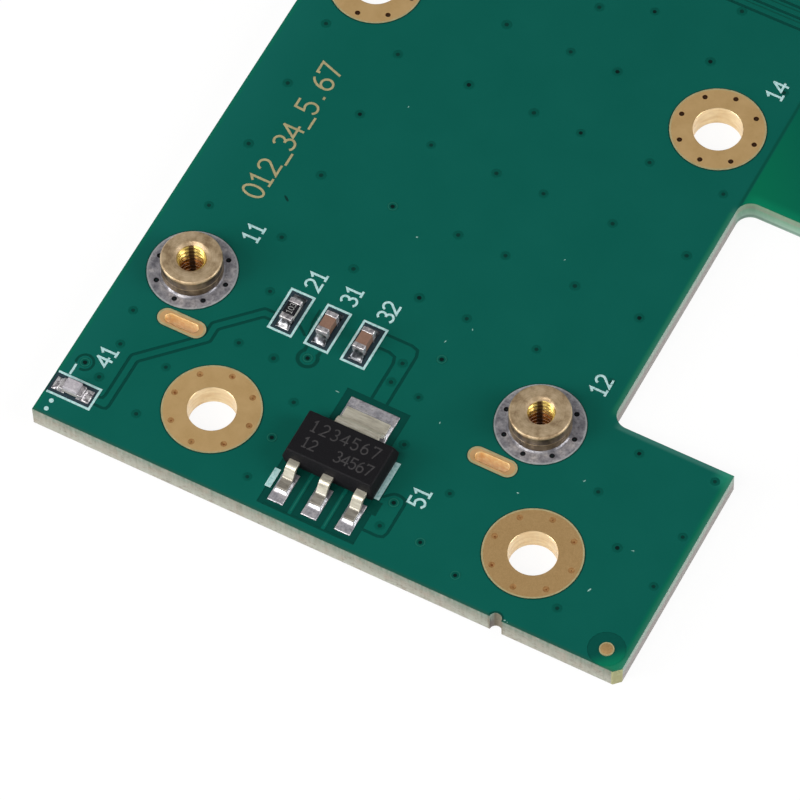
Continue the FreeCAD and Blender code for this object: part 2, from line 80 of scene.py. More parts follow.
CARD_HOLE = 1.57
BRACKET_HOLE = 1.52
PLATING = 0.04
FLARE = 0.03
POST_LAND = 2.83
HALF_LAND = 3.03
BRACKET_LAND = 3.10
LAND_CORNERS = 96
POST_PLACES = {"left": 0.0, "right": POSTS_APART}
HALF_ROW = 24.15
BRACKET_PLACES = {"left": 5.89, "right": 27.94}
BRACKET_ROW = -8.22
SLOT_PLACES = {"left": 1.27, "right": 22.83}
SLOT_ROW = -3.68
SLOT_LAND = (3.25, 1.22)
SLOT_MOUTH = (2.27, 0.64)
RING_VIAS = 8
RING_VIA = 0.175
COVERED_VIA = 0.21
RING_VIA_EDGE = 0.50

POST_TOP = 1.55
POST_FOOT = -1.45
POST_RADIUS = 1.95
POST_SHANK = 1.52
POST_SPOKES = 96
POST_MOUTHS = {"left": (1.17, 0.24), "right": (1.08, 0.14)}
THREAD_MINOR = 0.80
THREAD_MAJOR = 0.99
THREAD_PITCH = 0.40
SOLDER_SEEDS = {"left": 3.0, "right": 8.0}

CHIP_PLACES = ((6.90, 0.10), (9.44, 0.10), (11.98, 0.10))
CHIP_HALF = 0.80
REGULATOR = (14.72, -7.85)
LEAD_XS = (12.42, 14.72, 17.02)
LEAD_TOE = 3.50
LEAD_WIDTH = 0.70
TAB_WIDTH = 3.00
FIDUCIAL = (34.86, -12.02)
NOTCH = (28.00, -13.22)
CONTACT_PITCH = 0.80


# Geometry helpers

class Shape:
    """Points and faces gathered from several forms, each face with the number of its material."""

    def __init__(self):
        self.points = []
        self.faces = []
        self.marks = []

    def add(self, form, mark=0):
        points, faces = form
        base = len(self.points)
        self.points += points
        self.faces += [[index + base for index in face] for face in faces]
        self.marks += [mark] * len(faces)
        return self


def place(x, y, z):
    return ((x - POSTS_APART / 2) * MM, y * MM, z * MM)


def shown(name, data):
    """One new object of the scene."""
    thing = bpy.data.objects.new(name, data)
    bpy.context.collection.objects.link(thing)
    return thing


def piece(name, shape, look_names, nodes=(), smooth=40, bevel=0.0):
    """Makes one object of a shape, rides it on the board and lets it stand for the named nodes."""
    mesh = bpy.data.meshes.new(name)
    mesh.from_pydata([place(*point) for point in shape.points], [], shape.faces)
    for look in look_names:
        mesh.materials.append(LOOKS[look])
    mesh.polygons.foreach_set("material_index", shape.marks)
    work = bmesh.new()
    work.from_mesh(mesh)
    bmesh.ops.remove_doubles(work, verts=work.verts, dist=SAME_POINT)
    bmesh.ops.recalc_face_normals(work, faces=work.faces)
    work.to_mesh(mesh)
    work.free()
    level = [not bevel and abs(face.normal.z) > LEVEL_FACE for face in mesh.polygons]
    mesh.polygons.foreach_set("use_smooth", [smooth > 0 and not flat for flat in level])
    if smooth > 0:
        mesh.set_sharp_from_angle(angle=math.radians(smooth))
    thing = shown(name, mesh)
    if bevel:
        soft = thing.modifiers.new("soft edges", "BEVEL")
        soft.width = bevel * MM
        soft.segments = 3
        soft.limit_method = "ANGLE"
        soft.angle_limit = math.radians(BEVELLED_FROM)
        soft.harden_normals = True
    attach(thing, "root")
    if nodes:
        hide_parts(*nodes)


def circle(x, y, radius, count=72):
    step = 2 * math.pi / count
    return [(x + radius * math.cos(n * step), y + radius * math.sin(n * step)) for n in range(count)]


def rectangle(x_low, x_high, y_low, y_high):
    return [(x_low, y_low), (x_high, y_low), (x_high, y_high), (x_low, y_high)]


def oblong(x, y, length, width, count=14):
    """A bar along x with round ends."""
    points = []
    for end in (1, -1):
        for n in range(count + 1):
            angle = math.pi * (n / count - 0.5)
            points.append((x + end * ((length - width) / 2 + width / 2 * math.cos(angle)),
                           y + end * width / 2 * math.sin(angle)))
    return points


def arc(x, y, across, up, start, end, steps):
    angles = [math.radians(start + (end - start) * n / steps) for n in range(steps + 1)]
    return [(x + across * math.cos(a), y + up * math.sin(a)) for a in angles]


def prism(outline, low, high):
    """A closed upright form over one outline."""
    count = len(outline)
    points = [(x, y, low) for x, y in outline] + [(x, y, high) for x, y in outline]
    faces = [list(range(count))[::-1], list(range(count, 2 * count))]
    faces += [[n, (n + 1) % count, count + (n + 1) % count, count + n] for n in range(count)]
    return points, faces


def plate(loops, low, high, rim=0.0):
    """A flat form over several outlines, the inner ones being holes, with its rims eased."""
    curve = bpy.data.curves.new("outline", "CURVE")
    curve.dimensions = "2D"
    curve.fill_mode = "BOTH"
    curve.extrude = (high - low) / 2 - rim
    curve.bevel_depth = rim
    curve.bevel_resolution = 1
    curve.offset = -rim
    for loop in loops:
        spline = curve.splines.new("POLY")
        spline.points.add(len(loop) - 1)
        for point, (x, y) in zip(spline.points, loop):
            point.co = (x, y, 0, 1)
        spline.use_cyclic_u = True
    holder = bpy.data.objects.new("outline", curve)
    mesh = bpy.data.meshes.new_from_object(holder)
    middle = (low + high) / 2
    points = [(v.co.x, v.co.y, v.co.z + middle) for v in mesh.vertices]
    faces = [list(p.vertices) for p in mesh.polygons]
    bpy.data.objects.remove(holder)
    bpy.data.curves.remove(curve)
    bpy.data.meshes.remove(mesh)
    return points, faces


def rows(grid, closed_rows=False):
    """Faces between rings of points, every ring closed on itself."""
    count = len(grid[0])
    points = [point for ring in grid for point in ring]
    faces = []
    last = len(grid) if closed_rows else len(grid) - 1
    for row in range(last):
        low = row * count
        high = (row + 1) % len(grid) * count
        faces += [[low + n, low + (n + 1) % count, high + (n + 1) % count, high + n] for n in range(count)]
    return points, faces


def lathe(profile, x, y, count=72):
    """A closed (radius, z) profile turned about an upright axis."""
    step = 2 * math.pi / count
    grid = [[(x + radius * math.cos(n * step), y + radius * math.sin(n * step), z) for n in range(count)]
            for radius, z in profile]
    return rows(grid, True)


def field(x_low, x_high, y_low, y_high, across, along, height, base):
    """A block whose top follows height(x, y)."""
    points = []
    for j in range(along + 1):
        for i in range(across + 1):
            x = x_low + (x_high - x_low) * i / across
            y = y_low + (y_high - y_low) * j / along
            points.append((x, y, height(x, y)))
    width = across + 1
    faces = [[j * width + i, j * width + i + 1, (j + 1) * width + i + 1, (j + 1) * width + i]
             for j in range(along) for i in range(across)]
    border = list(range(across))
    border += [j * width + across for j in range(along)]
    border += [along * width + i for i in range(across, 0, -1)]
    border += [j * width for j in range(along, 0, -1)]
    start = len(points)
    points += [(points[n][0], points[n][1], base) for n in border]
    count = len(border)
    faces += [[border[n], start + n, start + (n + 1) % count, border[(n + 1) % count]] for n in range(count)]
    faces.append([start + n for n in range(count)][::-1])
    return points, faces


def offset(path, distance):
    """The path moved to its left, with mitred corners."""
    moved = []
    for index, (x, y) in enumerate(path):
        normals = []
        for first, second in ((index - 1, index), (index, index + 1)):
            if first >= 0 and second < len(path):
                (x_from, y_from), (x_to, y_to) = path[first], path[second]
                along = Vector((x_to - x_from, y_to - y_from)).normalized()
                normals.append(Vector((-along.y, along.x)))
        total = normals[0] + normals[-1]
        shift = total * (2 * distance / total.dot(total))
        moved.append((x + shift.x, y + shift.y))
    return moved


def band(path, width):
    return offset(path, width / 2) + offset(path, -width / 2)[::-1]


def rounded(path, radius, steps=6):
    """The path with its corners turned into arcs."""
    points = [path[0]]
    for before, here, after in zip(path, path[1:], path[2:]):
        corner = Vector(here)
        back = (Vector(before) - corner).normalized()
        ahead = (Vector(after) - corner).normalized()
        half = back.angle(ahead) / 2
        reach = radius / math.tan(half)
        centre = corner + (back + ahead).normalized() * (radius / math.sin(half))
        start = corner + back * reach - centre
        end = corner + ahead * reach - centre
        turn = start.angle_signed(end)
        for n in range(steps + 1):
            angle = -turn * n / steps
            spoke = Matrix.Rotation(angle, 2) @ start
            points.append(tuple(centre + spoke))
    return points + [path[-1]]


def turned(form, x, y, angle, lift=0.0):
    """A form drawn about the origin, turned and set down at a place."""
    points, faces = form
    c = math.cos(math.radians(angle))
    s = math.sin(math.radians(angle))
    return [(x + c * a - s * b, y + s * a + c * b, z + lift) for a, b, z in points], faces


def shift_shape(shape, x, y, angle, lift):
    moved = Shape()
    moved.points = turned((shape.points, None), x, y, angle, lift)[0]
    moved.faces = shape.faces
    moved.marks = shape.marks
    return moved


def block(x_low, x_high, y_low, y_high, z_low, z_high):
    return prism(rectangle(x_low, x_high, y_low, y_high), z_low, z_high)


# Material helpers

def srgb(red, green, blue):
    def linear(value):
        value /= 255
        return value / 12.92 if value <= 0.04045 else ((value + 0.055) / 1.055) ** 2.4
    return (linear(red), linear(green), linear(blue), 1.0)


class Look:
    """A node material built up step by step."""

    def __init__(self, name, roughness=0.5, metallic=0.0, specular=0.5):
        self.material = bpy.data.materials.new(name)
        self.material.use_nodes = True
        self.tree = self.material.node_tree
        self.shader = self.tree.nodes["Principled BSDF"]
        self.shader.inputs["Roughness"].default_value = roughness
        self.shader.inputs["Metallic"].default_value = metallic
        self.shader.inputs["Specular IOR Level"].default_value = specular
        self.object_place = self.tree.nodes.new("ShaderNodeTexCoord").outputs["Object"]

    def put(self, socket, value):
        if isinstance(value, bpy.types.NodeSocket):
            self.tree.links.new(value, socket)
        else:
            socket.default_value = value

    def math(self, operation, first, second=0.0):
        node = self.tree.nodes.new("ShaderNodeMath")
        node.operation = operation
        self.put(node.inputs[0], first)
        self.put(node.inputs[1], second)
        return node.outputs[0]

    def axes(self, vector=None):
        node = self.tree.nodes.new("ShaderNodeSeparateXYZ")
        self.put(node.inputs[0], self.object_place if vector is None else vector)
        return node.outputs

    def distance(self, across, up):
        return self.math("SQRT", self.math("ADD", self.both(across, across), self.both(up, up)))

    def noise(self, scale, detail=2.0, rough=0.5, vector=None):
        """The vector may be a socket, or the scales per metre along the object's own axes."""
        if isinstance(vector, tuple):
            mapping = self.tree.nodes.new("ShaderNodeMapping")
            self.put(mapping.inputs["Vector"], self.object_place)
            mapping.inputs["Scale"].default_value = vector
            vector = mapping.outputs[0]
        node = self.tree.nodes.new("ShaderNodeTexNoise")
        self.put(node.inputs["Vector"], self.object_place if vector is None else vector)
        node.inputs["Scale"].default_value = scale
        node.inputs["Detail"].default_value = detail
        node.inputs["Roughness"].default_value = rough
        return node.outputs["Fac"]

    def ramp(self, factor, *stops):
        """Stops are (place, colour or grey value)."""
        node = self.tree.nodes.new("ShaderNodeValToRGB")
        self.put(node.inputs[0], factor)
        elements = node.color_ramp.elements
        while len(elements) < len(stops):
            elements.new(0.5)
        for element, (where, value) in zip(elements, stops):
            element.position = where
            element.color = srgb(*value) if isinstance(value, tuple) else (value, value, value, 1)
        return node.outputs[0]

    def mix(self, factor, first, second):
        node = self.tree.nodes.new("ShaderNodeMix")
        node.data_type = "RGBA"
        self.put(node.inputs["Factor"], factor)
        self.put(node.inputs["A"], srgb(*first) if isinstance(first, tuple) else first)
        self.put(node.inputs["B"], srgb(*second) if isinstance(second, tuple) else second)
        return node.outputs["Result"]

    def painted(self, tone, *coats):
        """The tone under coats of (colour, mask, mask, ...), laid one over the other."""
        for color, *masks in coats:
            tone = self.mix(self.both(*masks), tone, color)
        return tone

    def above(self, value, edge, soft):
        """0 below the edge and 1 above it, eased over the soft width."""
        node = self.tree.nodes.new("ShaderNodeMapRange")
        node.interpolation_type = "SMOOTHSTEP"
        self.put(node.inputs["Value"], value)
        node.inputs["From Min"].default_value = edge - soft / 2
        node.inputs["From Max"].default_value = edge + soft / 2
        return node.outputs[0]

    def past(self, place, edge, soft):
        """1 where a place lies past an edge given in millimetres."""
        return self.above(place, edge * MM, soft * MM)

    def short_of(self, place, edge, soft):
        return self.no(self.past(place, edge, soft))

    def either(self, *masks):
        total = masks[0]
        for mask in masks[1:]:
            total = self.math("MAXIMUM", total, mask)
        return total

    def both(self, *masks):
        total = masks[0]
        for mask in masks[1:]:
            total = self.math("MULTIPLY", total, mask)
        return total

    def no(self, mask):
        return self.math("SUBTRACT", 1.0, mask)

    def bump(self, height, strength, depth_mm):
        node = self.tree.nodes.new("ShaderNodeBump")
        node.inputs["Strength"].default_value = strength
        node.inputs["Distance"].default_value = depth_mm * MM
        self.put(node.inputs["Height"], height)
        previous = self.shader.inputs["Normal"]
        if previous.is_linked:
            self.tree.links.new(previous.links[0].from_socket, node.inputs["Normal"])
        self.tree.links.new(node.outputs[0], previous)

    def color(self, socket):
        self.put(self.shader.inputs["Base Color"], socket)

    def rough(self, socket):
        self.put(self.shader.inputs["Roughness"], socket)


# Looks. Their coordinates are the frame's own: x is counted from midway between the posts.

def board_coat(look, x, y, z, facing, flat, from_corner):
    """The coat's greens: brighter over bare laminate at the rims, dark where the copper is etched away."""
    tone = look.painted(
        look.mix(look.ramp(look.noise(260, 3), (0.3, 0.0), (0.7, 1.0)), (6, 87, 76), (9, 90, 79)),
        ((12, 97, 84), look.ramp(look.noise(9000, 2), (0.25, 0.0), (0.8, 0.3))),
        # Painted sheen: the coat turns lighter and greyer towards the card's left edge.
        ((18, 97, 88), look.short_of(x, -15.5, 9)))

    above_recess = look.past(y, 19.6, 1.2)
    left_of_recess = look.short_of(x, 16.3, 0.3)
    below_shoulder = look.short_of(y, 3.0, 0.1)
    recess_rim = look.both(look.past(x, 15.50, 0.30), look.past(y, 2.7, 1.0), look.short_of(y, 19.0, 0.1),
                           left_of_recess)
    bare = look.either(
        look.both(look.past(x, 15.95, 0.10), above_recess),
        look.both(look.either(look.past(x, 23.80, 0.30), recess_rim), 0.65),
        look.both(look.short_of(x, -15.75, 0.25), 0.4),
        look.both(look.past(from_corner, 35.7, 1.6), 0.9))
    bare_green = look.mix(look.past(look.math("ADD", x, y), 41, 12), (3, 107, 76), (3, 89, 72))
    recess_wall = look.both(look.past(x, 15.64, 0.44), look.past(y, 2.9, 0.9), look.short_of(y, 19.4, 0.6),
                            left_of_recess)
    right_wall = look.both(look.past(x, 24.04, 0.44), below_shoulder)
    etched = look.both(look.math("LESS_THAN", z, RELIEF / 2 * MM), look.math("GREATER_THAN", z, -0.5 * MM))
    return look.painted(
        tone,
        (bare_green, bare, look.above(facing, 0.7, 0.02)),
        ((36, 128, 96), look.past(from_corner, 36.15, 0.6), 0.6),
        ((66, 120, 110), look.past(x, 16.3, 0.6), look.past(y, 1.86, 0.24), below_shoulder, 0.6),
        ((44, 146, 116), look.past(x, 23.3, 0.9), look.past(y, 1.2, 1.2), below_shoulder, 0.5),
        ((66, 122, 104), look.either(recess_wall, right_wall), 0.55),
        ((62, 80, 60), look.short_of(y, -13.10, 0.30), 0.35),
        ((8, 132, 94), look.past(x, 16.2, 1.0), above_recess, look.short_of(y, 20.75, 0.7), 0.45),
        ((5, 76, 63), look.past(x, 15.74, 0.16), look.short_of(x, 15.93, 0.16), above_recess, flat),
        ((5, 67, 59), etched))


def board_laminate(look, x, y, z, rightward, from_corner, fibres, finger_face):
    """Cut glass fibre: greener under the coat and paler below it, with blotches, pits and loose fibres."""
    waves = look.math("MULTIPLY", look.noise(1800, 2), 0.06)
    depth = look.math("ADD", look.math("MULTIPLY", z, -0.62 / MM), waves)
    deepening = look.ramp(depth, (0.06, (72, 110, 90)), (0.12, (102, 128, 113)), (0.24, (110, 128, 113)),
                          (0.38, (131, 137, 124)), (0.60, (154, 155, 142)), (0.90, (172, 174, 163)))
    layers = look.ramp(depth, (0.1, (124, 158, 128)), (0.32, (136, 152, 132)), (0.46, (112, 168, 138)),
                       (0.78, (150, 192, 174)), (0.9, (104, 142, 128)), (1.0, (150, 186, 172)))
    streaks = look.noise(1.0, 4, 0.6, (500, 500, 5200))
    notch_x, notch_y = NOTCH
    from_notch = look.distance(look.math("SUBTRACT", x, (notch_x - POSTS_APART / 2) * MM),
                               look.math("SUBTRACT", y, notch_y * MM))
    return look.painted(
        look.ramp(streaks, (0.25, (136, 135, 124)), (0.5, (153, 153, 142)), (0.75, (168, 169, 158))),
        (deepening, 0.8),
        ((160, 144, 130), look.ramp(look.noise(1300, 4, 0.65), (0.46, 0.0), (0.70, 0.6))),
        ((122, 114, 104), look.ramp(look.noise(1.0, 4, 0.7, (3600, 3600, 7000)), (0.53, 0.0), (0.66, 0.75))),
        ((188, 189, 180), look.ramp(fibres, (0.35, 0.0), (0.75, 0.35))),
        (look.mix(look.noise(5200, 3), (84, 72, 58), (150, 140, 120)),
         look.short_of(from_notch, 0.48, 0.16), 0.75),
        # Painted reflection: the right-facing edge is tinted lilac-grey low and blue-green high, and greener
        # just under the coat.
        (look.mix(look.past(z, -0.75, 0.5), (160, 152, 154), (172, 190, 181)), rightward, 0.62),
        ((84, 138, 118), look.past(z, -0.12, 0.16), rightward, 0.6),
        (layers, look.past(y, 19.2, 0.7), look.short_of(y, 20.6, 0.1), look.past(x, 15.7, 0.5), 0.75),
        ((168, 166, 108), look.past(from_corner, 36.90, 0.05), 0.7),
        (look.mix(look.noise(900, 3), (150, 150, 108), (172, 170, 126)), finger_face))


def board_look():
    """Green coat on the faces, and bare laminate at the edges and on the tongue past the fingers."""
    look = Look("green_board", roughness=0.26, specular=0.18)
    x, y, z = look.axes()
    normal = look.axes(look.tree.nodes.new("ShaderNodeNewGeometry").outputs["Normal"])
    facing = look.math("ABSOLUTE", normal[2])
    flat = look.math("GREATER_THAN", facing, 0.7)
    relief_wall = look.math("GREATER_THAN", z, -0.03 * MM)
    fingers = look.both(look.past(x, 23.98, 0.03), look.past(y, 19.0, 0.1))
    coat = look.both(look.either(flat, relief_wall), look.no(fingers))
    from_corner = look.math("SUBTRACT", x, y)
    fibres = look.noise(1.0, 3, 0.6, (5200, 5200, 900))
    surface = board_coat(look, x, y, z, facing, flat, from_corner)
    laminate = board_laminate(look, x, y, z, look.above(normal[0], 0.7, 0.1), from_corner, fibres,
                              look.both(fingers, flat))
    look.color(look.mix(coat, laminate, surface))
    look.rough(look.ramp(coat, (0.0, 0.75), (1.0, 0.26)))
    look.bump(look.noise(1400, 2), 0.10, 0.012)
    look.bump(look.both(look.no(coat), fibres), 0.9, 0.03)
    return look.material


def gold_look():
    """Gold plate, duller towards one bracket hole."""
    look = Look("gold_plate", roughness=0.42, metallic=0.55)
    grain = look.noise(16000, 2)
    x, y, _ = look.axes()
    look.color(look.painted(
        look.ramp(look.noise(900, 3), (0.3, (210, 172, 114)), (0.7, (222, 185, 128))),
        ((184, 147, 96), look.past(x, 8.0, 4.0), look.short_of(y, -4.5, 2.0), 0.75),
        ((226, 190, 138), look.ramp(grain, (0.35, 0.0), (0.75, 0.4)))))
    look.rough(look.ramp(grain, (0.3, 0.40), (0.7, 0.52)))
    look.bump(grain, 0.25, 0.004)
    return look.material


def speckled(name, tone, stops, bump=None, rough=None, **basics):
    """A look whose colour follows one noise; tone, bump and rough each begin with the settings of theirs."""
    look = Look(name, **basics)
    look.color(look.ramp(look.noise(*tone), *stops))
    if rough:
        settings, low, high = rough
        look.rough(look.ramp(look.noise(*settings), (0.3, low), (0.7, high)))
    if bump:
        settings, strength, depth_mm = bump
        look.bump(look.noise(*settings), strength, depth_mm)
    return look.material


def tin_look(name, shade=0.0, lift=0, solder_above=1.0):
    """Tinned copper, turning to bright solder above a height in millimetres."""
    look = Look(name, metallic=0.6)
    cloud = look.noise(1500, 4, 0.65)
    spots = look.noise(5200, 3, 0.6)
    wetted = look.past(look.axes()[2], solder_above, 0.03)
    look.color(look.painted(
        look.ramp(cloud, (0.32, (132 + lift, 131 + lift, 140 + lift)),
                  (0.5, (186 + lift, 184 + lift, 191 + lift)), (0.68, (226, 221, 223))),
        ((104 + lift, 99 + lift, 106 + lift), look.ramp(spots, (0.45, 0.0), (0.72, 0.6))),
        ((58, 56, 60), shade),
        (look.ramp(cloud, (0.35, (150, 150, 154)), (0.65, (200, 199, 203))), wetted)))
    dull = look.both(look.no(wetted), look.ramp(spots, (0.3, 0.28), (0.7, 0.46)))
    look.rough(look.math("ADD", dull, look.both(wetted, 0.26)))
    look.bump(cloud, 0.45, 0.03)
    look.bump(spots, 0.35, 0.012)
    return look.material


def brass_look():
    """Turned brass: fine rings on the flat top, painted shade with lighter streaks down the side, and deep
    gold in the thread with painted shade lower down, in its grooves and in one band.
    """
    look = Look("brass_post", roughness=0.34, metallic=0.5)
    x, y, z = look.axes()
    aside = look.math("SUBTRACT", x, look.math("MULTIPLY", look.math("SIGN", x), POSTS_APART / 2 * MM))
    radius = look.distance(aside, y)
    joined = look.tree.nodes.new("ShaderNodeCombineXYZ")
    look.put(joined.inputs[0], look.math("MULTIPLY", radius, 14000.0))
    look.put(joined.inputs[1], look.math("MULTIPLY", z, 5000.0))
    rings = look.noise(1.0, 2, 0.5, joined.outputs[0])
    cloud = look.noise(1500, 5, 0.65)
    # This noise breaks the side's painted shade with lighter streaks of painted reflection.
    side_shade_streaks = look.noise(1.0, 3, 0.6, (1000, 1000, 500))
    side = look.both(look.past(radius, 1.94, 0.01), look.short_of(z, 1.40, 0.1))
    inner = look.both(look.short_of(radius, 1.005, 0.02), look.short_of(z, 1.40, 0.04))
    groove = look.both(look.past(radius, 0.88, 0.10), look.short_of(radius, 0.992, 0.01))

    # One band of painted shade wanders down the thread, on the side turned half right of the card's back.
    back = look.math("SUBTRACT", look.math("MULTIPLY", y, 0.87), look.math("MULTIPLY", aside, 0.5))
    across = look.math("ABSOLUTE", look.math("ADD", look.math("MULTIPLY", aside, 0.87),
                                             look.math("MULTIPLY", y, 0.5)))
    wander = look.math("ADD", across, look.math("MULTIPLY", look.noise(3200, 2), 0.22 * MM))
    dull = look.both(look.past(back, 0.3, 0.4), look.short_of(wander, 0.29, 0.14))
    # Painted light and shade in the thread: lighter towards the mouth, darker lower down, in the grooves and
    # in the band.
    deep = look.painted(look.mix(look.past(z, 0.30, 1.1), (176, 108, 36), (255, 222, 120)),
                        ((112, 66, 18), groove, 0.8), ((66, 34, 8), dull, 0.92))
    look.color(look.painted(
        look.ramp(cloud, (0.34, (158, 132, 100)), (0.5, (197, 172, 137)), (0.66, (216, 192, 158))),
        # Painted shade darkens the post's side, with lighter streaks of painted reflection.
        ((56, 43, 27), side, look.ramp(side_shade_streaks, (0.38, 0.62), (0.62, 1.0))),
        (deep, inner),
        ((112, 92, 62), look.ramp(rings, (0.35, 0.0), (0.8, 0.2)))))
    worn = look.ramp(cloud, (0.3, 0.36), (0.7, 0.46))
    shine = look.math("SUBTRACT", worn, look.math("MULTIPLY", inner, 0.16))
    look.rough(look.either(shine, look.both(dull, inner, 0.8)))
    look.bump(rings, 0.14, 0.006)
    look.bump(cloud, 0.2, 0.02)
    return look.material


def coat_look(name, color, roughness=0.32):
    """Patches of the coat that differ from the rest, such as covered holes and gaps."""
    look = Look(name, roughness=roughness, specular=0.15)
    shade = tuple(max(0, value - 6) for value in color)
    look.color(look.mix(look.noise(5000, 2), shade, color))
    look.bump(look.noise(2400, 2), 0.12, 0.01)
    return look.material


def brown_look():
    look = Look("brown_ceramic", roughness=0.48, specular=0.4)
    cloud = look.noise(2400, 3)
    look.color(look.mix(look.noise(14000, 2), look.ramp(cloud, (0.3, (136, 104, 88)), (0.7, (150, 118, 100))),
                        (122, 92, 78)))
    look.bump(look.noise(9000, 2), 0.25, 0.006)
    return look.material


def terminal_look(name, dark, spread):
    look = Look(name, roughness=0.36, metallic=0.6)
    cloud = look.noise(3600, 4, 0.65)
    look.color(look.ramp(cloud, (0.5 - spread, (dark, dark - 4, dark + 1)), (0.5, (200, 195, 199)),
                         (0.5 + spread, (244, 241, 242))))
    look.rough(look.ramp(cloud, (0.3, 0.42), (0.7, 0.2)))
    look.bump(cloud, 0.9, 0.05)
    return look.material


def lens_look():
    look = Look("frosted_lens", roughness=0.5, specular=0.4)
    cloud = look.noise(3600, 4, 0.7)
    look.color(look.ramp(cloud, (0.3, (158, 153, 160)), (0.55, (182, 177, 183)), (0.75, (200, 196, 200))))
    look.shader.inputs["Subsurface Weight"].default_value = 0.1
    look.shader.inputs["Subsurface Radius"].default_value = (0.3 * MM, 0.3 * MM, 0.3 * MM)
    look.bump(cloud, 0.6, 0.02)
    return look.material


def lead_look(name, metallic, dull):
    """Drawn lead metal, with painted shade darkening its foot by the given share."""
    look = Look(name, roughness=0.26, metallic=metallic)
    drawn = look.noise(1.0, 3, 0.6, (900, 5200, 5200))
    foot_tone = look.ramp(drawn, (0.3, (118, 110, 104)), (0.7, (176, 170, 164)))
    look.color(look.painted(
        look.ramp(drawn, (0.3, (184, 178, 162)), (0.5, (214, 208, 190)), (0.7, (230, 226, 212))),
        # Painted shade darkens the foot below a height, by the share given as dull.
        (foot_tone, look.short_of(look.axes()[2], 0.36, 0.12), dull)))
    look.rough(look.ramp(drawn, (0.3, 0.32), (0.7, 0.44)))
    look.bump(drawn, 0.3, 0.008)
    return look.material


def fiducial_ground_look():
    """The ring round the alignment dot, lighter towards the card's bare corner."""
    look = Look("fiducial_ground", roughness=0.32, specular=0.15)
    x, y, _ = look.axes()
    bare = look.past(look.math("SUBTRACT", x, y), 35.55, 1.5)
    ground = look.mix(look.noise(5000, 2), (4, 73, 64), (6, 80, 70))
    look.color(look.painted(ground, ((8, 122, 88), bare, 0.8)))
    look.bump(look.noise(2400, 2), 0.12, 0.01)
    return look.material


